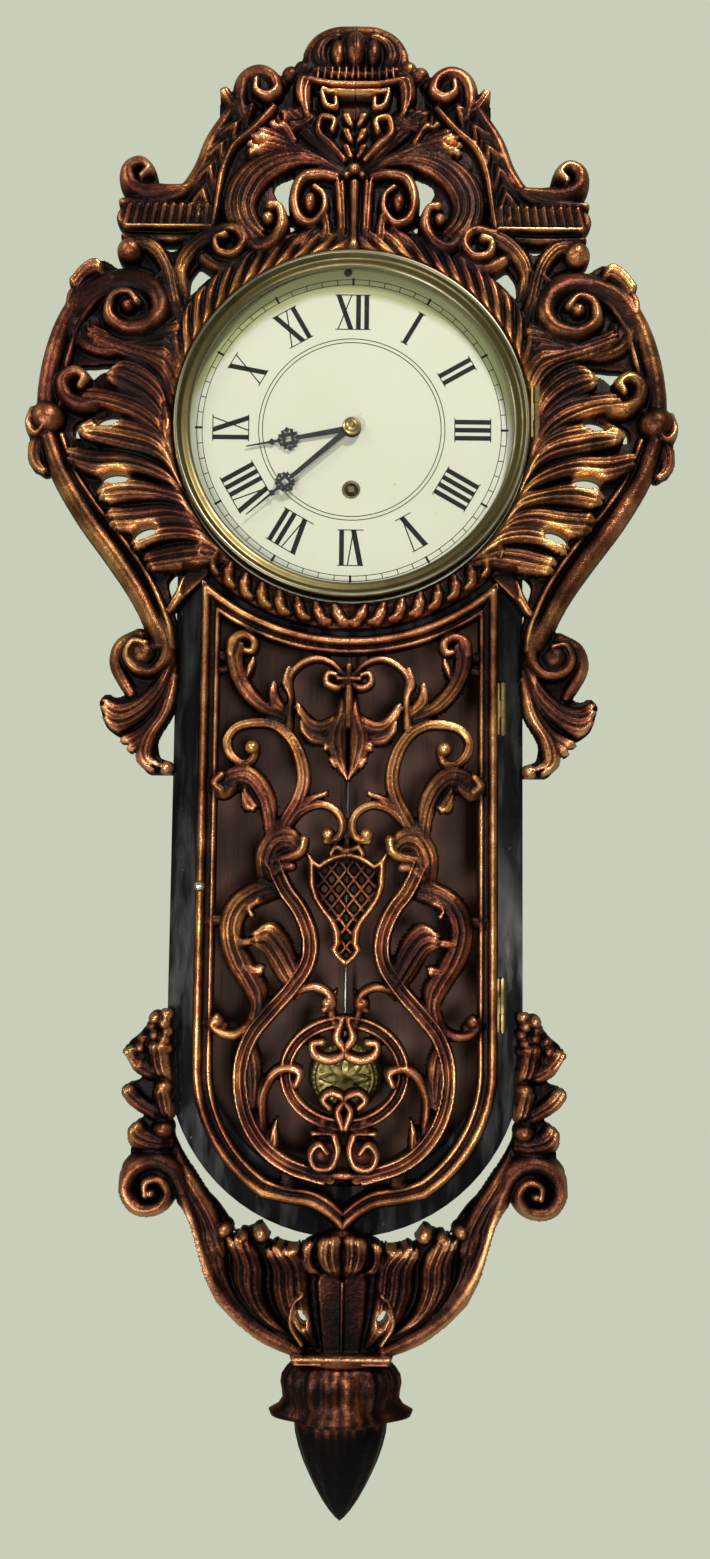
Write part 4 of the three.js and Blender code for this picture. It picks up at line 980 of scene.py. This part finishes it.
def draw_door_ring(relief):
    """The ring round the bob, its knots and cuffs, and the twin volutes below it."""
    draw, leaf, ball = relief.stroke, relief.leaf, relief.ball
    draw(half_ellipse(36.5, 31.5), 4.8, 5, "hollow", straight=True)
    for half_x, half_z in ((39.2, 34.2), (34.0, 29.0)):
        draw(half_ellipse(half_x, half_z), 1.5, 6.5, straight=True)
    draw([(-48, -455), (-51, -442), (-51, -428), (-45, -416), (-36, -411), (-28, -414), (-30, -421)],
         [3, 3.6, 3.8, 4, 4, 3.6, 2.8], [5.5, 7, 9])
    leaf([(-62, -386), (-54, -400), (-51, -416), (-54, -436)], [(-66, -390), (-63, -404), (-62, -418),
          (-59, -434)], 2, 7.5, 0, 0.03)
    leaf([(-48, -462), (-47, -452), (-41, -441)], [(-40, -468), (-40, -456), (-42, -446)], 2, 7.5, 0)
    draw([(-2, -382), (-5, -392), (0, -401), (-9, -406), (-18, -403), (-20, -396), (-14, -395)],
         [3.2, 3.6, 3.8, 3.8, 3.8, 3.4, 2.8], [8, 9.5])
    draw([(-1, -447), (-4, -437), (0, -430), (-8, -426), (-13, -430), (-9, -435)],
         [3.2, 3.2, 3.2, 3.2, 3, 2.4], 9)
    draw([(-13, -444), (-13, -456)], [5.2, 5.6], 6)
    draw([(-19, -450.5), (-7, -450.5)], [2.2, 2.2], 8.5)
    ball(-12, -463, 10.5, 12.5)
    draw([(-6, -452), (-4, -461), (-8, -470), (-17, -470), (-20, -462), (-15, -456), (-10, -461)],
         [3, 3.2, 3.2, 3, 2.8, 2.6, 2.4], [11, 13.5, 15])
    draw([(-17, -475), (0, -476)], [3, 3.2], 8)
    draw([(-34, -474), (-34, -486)], [6, 5], 3)


def make_door(material):
    relief = Relief(DOOR_LOW, DOOR_HIGH, 4.0)
    draw_door_top(relief)
    draw_door_sides(relief)
    draw_shield(relief)
    draw_door_stems(relief)
    draw_door_ring(relief)
    draw_door_rail(relief)
    relief_objects("door_relief", relief, DOOR_BACK, material, "door", "door_casting")


# ---- the bracket and its neck ----
def draw_bracket(relief):
    draw, leaf, ball = relief.stroke, relief.leaf, relief.ball
    for row in range(6):
        for column in range(3):
            x, z = -111 - 7.0 * column - 1.5 * (row % 2), -379 - 5.2 * row - 2.4 * column
            if -x < 123 + 2.4 * row:
                ball(x, z, 4.6, 7 + 2 * ((row + column) % 2))
    leaf([(-113, -421), (-125, -417), (-134, -410), (-139, -401)], [(-110, -414), (-119, -409),
          (-126, -404), (-130, -397)], 2, 9, 3, 0.04)
    leaf([(-114, -420), (-121, -410), (-122, -396)], [(-106, -420), (-108, -408), (-110, -396)], 2, 10, 3,
         0.04)
    ball(-112, -423, 6, 11)
    leaf([(-110, -447), (-122, -441), (-133, -434), (-139, -424)], [(-109, -438), (-118, -432),
          (-125, -427), (-131, -421)], 2, 9, 3, 0.04)
    leaf([(-112, -444), (-117, -434), (-118, -424)], [(-104, -442), (-106, -432), (-108, -424)], 2, 10, 2,
         0.04)
    ball(-112, -449, 7, 10)
    leaf([(-106, -462), (-119, -463), (-131, -459), (-134, -449)], [(-105, -452), (-114, -451),
          (-121, -448), (-126, -443)], 2, 9, 3, 0.04)
    draw([(-98, -486), (-105, -474), (-117, -468), (-129, -473), (-133, -485), (-125, -495), (-113, -494),
          (-107, -485), (-112, -477), (-120, -479), (-120, -486)], [6, 7.8, 8.4, 8, 7.4, 7.2, 6.8, 6, 5.2,
          4.4, 3.6], [10, 12, 14, 17])
    ball(-117, -485, 4, 17)
    draw([(-110, -468), (-103, -478), (-96, -492), (-90, -512), (-82, -534), (-68, -554), (-48, -569),
          (-26, -579)], [5, 6, 7, 7.5, 8, 8, 7, 5.5], [10, 11, 10])
    leaf([(-102, -462), (-88, -482), (-76, -500), (-68, -522)], [(-104, -474), (-96, -490), (-88, -508),
          (-82, -526)], 2, 9, 2)
    draw([(-6, -578), (-7, -560), (-8, -540)], [6.5, 7.5, 8.5], 6, "flat")
    draw([(0, -579), (0, -539)], [1.4, 1.6], 9)
    leaf([(-13, -579), (-18, -562), (-20, -545), (-22, -528), (-32, -517)],
         [(-20, -577), (-36, -561), (-43, -545), (-44, -530), (-50, -517)], 3, 12, 3, 0.05)
    leaf([(-20, -577), (-40, -560), (-47, -545), (-48, -530), (-54, -514)],
         [(-36, -571), (-58, -553), (-67, -538), (-68, -524), (-74, -510)], 3, 12, 3, 0.06)
    leaf([(-36, -571), (-58, -553), (-68, -537), (-72, -522), (-78, -508)],
         [(-46, -567), (-67, -550), (-78, -535), (-84, -520), (-87, -508)], 2, 9, 2, 0.06)
    draw([(-24, -574), (-31, -562), (-29, -550), (-24, -545)], [1.8, 2.6, 2.4, 1.8], 13)
    for x, z, r in ((-50, -511, 6), (-61, -514, 5.5), (-73, -509, 6), (-39, -520, 5), (-30, -520, 4.5)):
        ball(x, z, r, 11)
    ball(0, -522, 17.5, 8, lift=8, flat=0.78)
    leaf([(0, -536), (0, -524), (0, -511)], [(-9, -535), (-16, -524), (-15, -513)], 2, 12, 1, 0.05, lift=8)
    leaf([(-10, -535), (-17, -526), (-17, -514)], [(-16, -536), (-25, -530), (-25, -517)], 1, 10, 1)
    relief.hole(-24.5, -560, 2.6, 6, 18)
    draw([(-29, -582.5), (0, -582.5)], [2.6, 2.6], 13, lift=6)
    draw([(-28, -586), (0, -586)], [2.2, 2.2], 10, lift=6)


def make_bracket(material):
    relief = Relief(BRACKET_LOW, BRACKET_HIGH, 6.5)
    relief.ground("bracket_casting", 2.0)
    keep = relief.inside.copy()
    draw_bracket(relief)
    relief.inside = np.minimum(relief.inside, keep + 2.5)
    relief_objects("bracket_relief", relief, CAST_BACK, material, "clock", "bracket_casting")
    neck = [(0, -588), (27, -588), (28.4, -586.6), (27.4, -584.6), (28.5, -582.8), (27.4, -581), (24, -580.2),
            (0, -580)]
    collar = spun("bracket_neck", neck, 96, material, flat=0.60, upright=True, middle=-83)
    settle(collar, "clock", "casting", "bracket_casting")
    set_ridge(collar, 0.62)


# ---- the bud ----
BUD_MIDDLE = -82  # where its axis stands, front to back
GADROONS = 18


def finial_radius(radius, along, angle):
    """Gadroons on the shoulder, four leaf tips at its foot, and faint ribs on the bud."""
    shoulder = math.exp(-((along + 602) / 8) ** 2)
    tips = math.exp(-((along + 618) / 6) ** 2)
    furrow = 1 - abs(math.cos(GADROONS / 2 * angle)) ** 0.6
    gap = 0.5 - 0.5 * math.cos(4 * angle)
    ribs = 0.02 * math.cos(12 * angle) if along < -628 else 0
    return radius * (1 - 0.16 * shoulder * furrow - 0.26 * tips * gap + ribs)


def make_finial(material):
    outline = [(0, FINIAL_HIGH[2]), (24, FINIAL_HIGH[2]), (29, -589.6), (33.5, -592.5), (36.6, -597),
               (37.4, -602), (36.4, -607), (36, -611), (38.6, -615), (44.4, -618.2), (43, -621.5),
               (36, -622.6), (31, -622), (28.6, -626), (27.4, -632), (25.4, -640), (22.4, -648.5), (19, -656),
               (15, -664), (11, -671), (6.5, -677.5), (3, -681.5), (0, FINIAL_LOW[2])]
    bud = spun("bud_finial", outline, 144, material, flat=0.52, upright=True, middle=BUD_MIDDLE,
               shape=finial_radius)
    settle(bud, "clock", "casting", "bracket_finial")
    x, y, z = places(bud)
    grooves = 0.13 * np.cos(GADROONS * np.arctan2(y - BUD_MIDDLE, x))
    set_ridge(bud, np.where(z > -626, 0.55, 0.20) + grooves)


# ---- dial, hands and bezel ----
NUMERALS = ["XII", "I", "II", "III", "IIII", "V", "VI", "VII", "VIII", "IX", "X", "XI"]
NUMERAL_FOOT, NUMERAL_HEAD = 67.5, 91.0
ADVANCE = {"I": 5.4, "V": 11.6, "X": 12.6}
# Each letter's slanted bars: foot x, head x, width.
GLYPHS = {
    "I": [(2.7, 2.7, 3.1)],
    "V": [(6.6, 2.0, 3.4), (6.6, 10.4, 0.8)],
    "X": [(10.4, 2.2, 3.4), (1.9, 10.8, 0.8)],
}


def bar_shape(foot_x, foot_z, foot_half, head_x, head_z, head_half):
    """A bar with a level foot and head, and its half-width at each."""
    return [(foot_x - foot_half, foot_z), (foot_x + foot_half, foot_z),
            (head_x + head_half, head_z), (head_x - head_half, head_z)]


def turned_shapes(shapes, degrees):
    """Shapes drawn pointing up, turned clockwise about the hand arbor."""
    c, s = math.cos(math.radians(degrees)), math.sin(math.radians(degrees))
    return [[(x * c + z * s, -x * s + z * c) for x, z in shape] for shape in shapes]


def numeral_shapes(word, degrees):
    half = sum(ADVANCE[letter] for letter in word) / 2
    left = -half
    shapes = []
    for letter in word:
        for foot, head, bar in GLYPHS[letter]:
            shapes.append(bar_shape(left + foot, NUMERAL_FOOT, bar / 2, left + head, NUMERAL_HEAD, bar / 2))
        left += ADVANCE[letter]
    for level in (NUMERAL_FOOT, NUMERAL_HEAD):
        shapes.append(bar_shape(0, level - 0.3, half, 0, level + 0.3, half))
    return turned_shapes(shapes, degrees)


def circle_points(radius, count):
    angles = [2 * math.pi * i / count for i in range(count)]
    return [(radius * math.cos(a), radius * math.sin(a)) for a in angles]


def arc_pieces(radius, width, count=180):
    """A thin printed circle as short flat pieces."""
    inner, outer = circle_points(radius - width / 2, count), circle_points(radius + width / 2, count)
    return [[inner[i - 1], outer[i - 1], outer[i], inner[i]] for i in range(count)]


def make_dial(ink, brass):
    thick, thin = [], []
    for hour, word in enumerate(NUMERALS):
        thick += numeral_shapes(word, 30 * hour)
    for minute in range(60):
        bold = minute % 5 == 0
        half, low, high = (0.75, 97.6, 102.6) if bold else (0.26, 98, 101.5)
        (thick if bold else thin).extend(turned_shapes([bar_shape(0, low, half, 0, high, half)], 6 * minute))
    for radius, width in ((98, 0.45), (101.5, 0.45), (58.5, 0.5), (61, 0.5)):
        thin += arc_pieces(radius, width)
    for name, shapes in (("dial_numerals", thick), ("dial_circles", thin)):
        verts, faces = prism_mesh(shapes, DIAL_FRONT - 0.12, DIAL_FRONT - 0.01)
        settle(mesh_object(name, verts, faces, ink, smooth=False), "clock", "dial")
    low, high = corners("winding_arbor")
    ring = [(4.9, 1), (4.9, -0.7), (5.3, -0.95), (5.8, -0.7), (6.0, -0.02), (5.6, -0.02), (5.2, 1)]
    ring = [(radius, DIAL_FRONT + depth) for radius, depth in ring]
    eyelet = spun("winding_eyelet", ring, 64, brass, centre=(0, (low[2] + high[2]) / 2))
    settle(eyelet, "clock", "brass")


def hand_shapes(cross, diamond, tip, arm):
    """A hand pointing up: a tapered stem, a cross pierced by a square, a small diamond and a long tip."""
    aside, thick, knob = 2.9, 1.0, 1.9
    shapes = [bar_shape(0, 0, 2.0, 0, cross - arm, 1.3)]
    for x in (-aside, aside):
        shapes.append(bar_shape(x, cross - arm, thick, x, cross + arm, thick))
        shapes.append(bar_shape(0, cross + x - thick, arm, 0, cross + x + thick, arm))
    for x, z in ((-arm, 0), (arm, 0), (0, -arm), (0, arm)):
        z += cross
        shapes.append([(x - knob, z), (x, z - knob), (x + knob, z), (x, z + knob)])
    shapes.append(bar_shape(0, cross + arm - 1, 0.9, 0, diamond, 0.6))
    shapes.append([(-2.2, diamond), (0, diamond - 2.8), (2.2, diamond), (0, diamond + 2.8)])
    shapes.append(bar_shape(0, diamond, 0.75, 0, tip, 0.25))
    return shapes


def make_hands(blued, brass):
    for name, shape, degrees, hub in (
        ("hour_hand", (42, 53, 70, 6.2), 259.3, 6.2),
        ("minute_hand", (57, 68, 90, 5.6), 228.8, 5.2),
    ):
        low, high = corners(name)
        verts, faces = [], []
        outlines = turned_shapes(hand_shapes(*shape), degrees) + [circle_points(hub, 40)]
        for i, outline in enumerate(outlines):
            lift = 0.004 * i  # keeps overlapping faces apart
            more_verts, more_faces = prism_mesh([outline], low[1] - lift, high[1] + lift)
            faces += [tuple(k + len(verts) for k in face) for face in more_faces]
            verts += more_verts
        blade = mesh_object(f"{name}_blade", verts, faces, blued, smooth=False)
        settle(blade, f"{name}_body", "hand_blued", name)
    low, high = corners("hand_nut")
    y0, y1 = low[1], high[1]
    knob = [(0, y0 - 1.0), (1.1, y0 - 1.0), (1.2, y0), (3.2, y0), (3.7, y0 + 0.4), (3.9, y0 + 1.2),
            (5.2, y0 + 1.5), (5.9, y0 + 1.9), (6.0, y1 - 0.15), (0, y1 - 0.15)]
    settle(spun("hand_nut_turned", knob, 64, brass), "minute_hand_body", "brass", "hand_nut")


def make_bezel(material, glass):
    profile = [
        (BEZEL_R, BEZEL_BACK), (BEZEL_R, -97.2), (114.9, -98.3), (114.2, -98.9), (113.2, -99), (112.3, -98.6),
        (111.4, -97.3), (110.5, -96.2), (109.2, -95.7), (107.6, -95.5), (106.4, -95.1), (105.4, -94.6),
        (104.8, -93.9), (104.7, -92.6), (108, -93.2), (113.6, -92.5), (113.6, BEZEL_BACK),
    ]
    ring = spun("bezel_spun", profile, 256, material)
    x, y, z = places(ring)
    r = np.hypot(x, z)
    # painted highlight on the front outer rim and on the inner rim
    painted_outer_highlight = np.exp(-(((r - 113.3) / 0.8) ** 2)) * (y < -98)
    painted_inner_highlight = 0.8 * np.exp(-(((r - 105.1) / 0.6) ** 2))
    set_ridge(ring, np.clip(painted_outer_highlight + painted_inner_highlight, 0, 1))
    ring.data.set_sharp_from_angle(angle=math.radians(50))
    settle(ring, "bezel", "brass", "bezel_ring")
    edge, front, thick, crown = 103, -91.8, 2, 6.2
    dome = [(r, front - crown * (1 - (r / edge) ** 2)) for r in (0, 12, 24, 36, 48, 60, 72, 84, 94, edge)]
    dome.append((113.2, front))
    pane = spun("bezel_pane", dome + [(r, y + thick) for r, y in reversed(dome)], 128, glass)
    settle(pane, "bezel", "glass", "bezel_glass")


# ---- the pendulum bob ----
def bell(value, place, width):
    """1 at the place, falling softly to 0 on both sides of it."""
    return math.exp(-((value - place) / width) ** 2)


def bob_rise(share, angle, half):
    """The embossed lens's height at a share of its radius: a rope edge, a band, beads and a star."""
    rope = bell(share, 0.93, 0.045) * (0.5 + 0.5 * math.cos(36 * angle))
    band = bell(share, 0.80, 0.03)
    beads = bell(share, 0.70, 0.05) * max(0.0, math.cos(24 * angle))
    point = abs(2 * (4 * angle / math.pi % 1) - 1)
    star = bell(share, 0.30 + 0.34 * point, 0.045)
    boss = bell(share, 0, 0.10)
    dome = 0.82 * math.sqrt(max(0.0, 1 - share**2)) + 0.06
    return min(half, half * dome + 0.7 * rope + 0.45 * band + 0.9 * star + 0.5 * beads + 0.6 * boss)


def make_bob(material):
    """A lens of embossed brass, the same at the front and the back."""
    _, middle, centre = (BOB_LOW + BOB_HIGH) / 2
    radius, half = 23.9, (BOB_HIGH[1] - BOB_LOW[1]) / 2
    rings, sides = 60, 160
    verts, faces = [], []
    for side in (-1, 1):
        for i in range(rings + 1):
            r = radius * i / rings
            for j in range(sides):
                angle = 2 * math.pi * j / sides
                y = middle + side * bob_rise(i / rings, angle, half)
                verts.append((r * math.cos(angle), y, centre + r * math.sin(angle)))
    layer, edge = (rings + 1) * sides, rings * sides
    for j in range(sides):
        k = (j + 1) % sides
        for start in range(0, edge, sides):
            for a in (start, layer + start):
                faces.append((a + j, a + k, a + sides + k, a + sides + j))
        faces.append((edge + j, edge + k, layer + edge + k, layer + edge + j))
    bob = mesh_object("bob_embossed", verts, faces, material)
    weld(bob)
    settle(bob, "pendulum", "bob_brass", "pendulum_bob")


# ---- light and floor ----
def add_light(name, place, target, size, power, color=(1, 1, 1)):
    data = bpy.data.lights.new(name, "AREA")
    data.size = size
    data.energy = power
    data.color = color
    light = bpy.data.objects.new(name, data)
    bpy.context.scene.collection.objects.link(light)
    light.location = place
    light.rotation_euler = (Vector(target) - Vector(place)).to_track_quat("-Z", "Y").to_euler()


def add_floor():
    side, level = 1000, -1300
    material, tree, shader = new_material("floor_paint", Roughness=0.9)
    pale = ramp(tree, noise(tree, 3, 3), (0.3, (0.70, 0.72, 0.64)), (0.7, (0.73, 0.75, 0.67)))
    drive(tree, shader, Base_Color=pale)
    verts = [(-side, -side, level), (side, -side, level), (side, side, level), (-side, side, level)]
    mesh_object("floor", verts, [(0, 1, 2, 3)], material, smooth=False)


def add_studio():
    world = bpy.data.worlds.new("studio")
    bpy.context.scene.world = world
    world.use_nodes = True
    tree = world.node_tree
    seen = node(tree, "ShaderNodeLightPath", {}).outputs["Is Camera Ray"]
    drive(tree, tree.nodes["Background"], Color=(0.68, 0.72, 0.57),
          Strength=span(tree, seen, 0, 1, 0.24, 0.86))
    add_light("key", (0.45, -1.15, 1.00), (0, 0, -0.1), 0.20, 17, (1, 0.97, 0.90))
    add_light("low", (-0.60, -1.25, -0.60), (0, 0, -0.35), 0.25, 8, (1, 0.98, 0.95))
    add_light("side", (-1.0, -0.9, 0.5), (0, -0.05, 0), 0.5, 4)
    add_light("front", (0.15, -1.5, -0.40), (0, 0, -0.25), 0.16, 4.5, (1, 0.97, 0.92))
    bpy.context.scene.view_settings.view_transform = "Standard"


# ---- putting it together ----
def make_seam(material):
    """A near-black strip in the joint between the back boards: painted shade for the dark crack between them.
    """
    left_low, left_high = corners("back_board_left")
    x0, x1 = left_high[0], corners("back_board_right")[0][0]
    middle, half, top = (x0 + x1) / 2, (x1 - x0) / 2, 98
    outline = bar_shape(middle, left_low[2] + 1, half, middle, top, half)
    verts, faces = prism_mesh([outline], left_low[1] + 0.4, left_low[1] + 2)
    settle(mesh_object("board_crack_shade", verts, faces, material, smooth=False), "clock", "wood_board")


def paint(obj, material):
    obj.data.materials.clear()
    obj.data.materials.append(material)


def paint_cad_nodes():
    board = wood_material("board_wood", (0.092, 0.036, 0.022), (0.128, 0.052, 0.032), 13)
    post = wood_material("post_wood", (0.12, 0.06, 0.03), (0.26, 0.15, 0.08), 60)
    brass = metal_material("movement_brass", (0.42, 0.30, 0.11), (0.68, 0.52, 0.24))
    old_brass = metal_material("hinge_brass", (0.10, 0.075, 0.03), (0.34, 0.25, 0.11), (0.35, 0.55))
    steel = metal_material("steel", (0.22, 0.22, 0.22), (0.46, 0.46, 0.45), (0.25, 0.42), 160)
    knob = metal_material("knob_brass", (0.72, 0.64, 0.42), (0.92, 0.86, 0.64), (0.15, 0.3))
    by_slot = {"case_black": lacquer_material(), "wood_board": board, "wood_post": post, "steel": steel,
               "movement_brass": brass, "brass": old_brass, "dial": dial_material(), "bob_brass": brass}
    slots = {row["node"]: row["material_slot"] for row in frame["record"]["subparts"]}
    for name, obj in frame["nodes"].items():
        if slots[name] in by_slot:
            paint(obj, by_slot[slots[name]])
    paint(frame["nodes"]["door_knob"], knob)
    paint(frame["nodes"]["winding_arbor"], old_brass)
    return brass, old_brass


def build():
    add_camera()
    add_studio()
    add_floor()
    brass, old_brass = paint_cad_nodes()
    casting = bronzed_material("bronzed_casting", 0.88, 0.8)
    make_head(casting)
    make_door(casting)
    make_bracket(bronzed_material("bronzed_bracket", 0.6, 0.2))
    make_finial(bronzed_material("bronzed_bud", 0.5, 0.25))
    make_dial(ink_material(), old_brass)
    blued = metal_material("blued_steel", (0.010, 0.010, 0.012), (0.035, 0.037, 0.042), (0.4, 0.55), 200, 0.6)
    make_hands(blued, brass)
    make_bezel(bezel_material(), glass_material())
    old_bob = metal_material("bob_brass", (0.15, 0.115, 0.032), (0.42, 0.345, 0.125), (0.30, 0.48), 300, 0.85)
    make_bob(old_bob)
    # near-black wood for the painted shade in the crack between the back boards
    make_seam(wood_material("crack_shade", (0.006, 0.004, 0.003), (0.012, 0.008, 0.006), 22))


build()
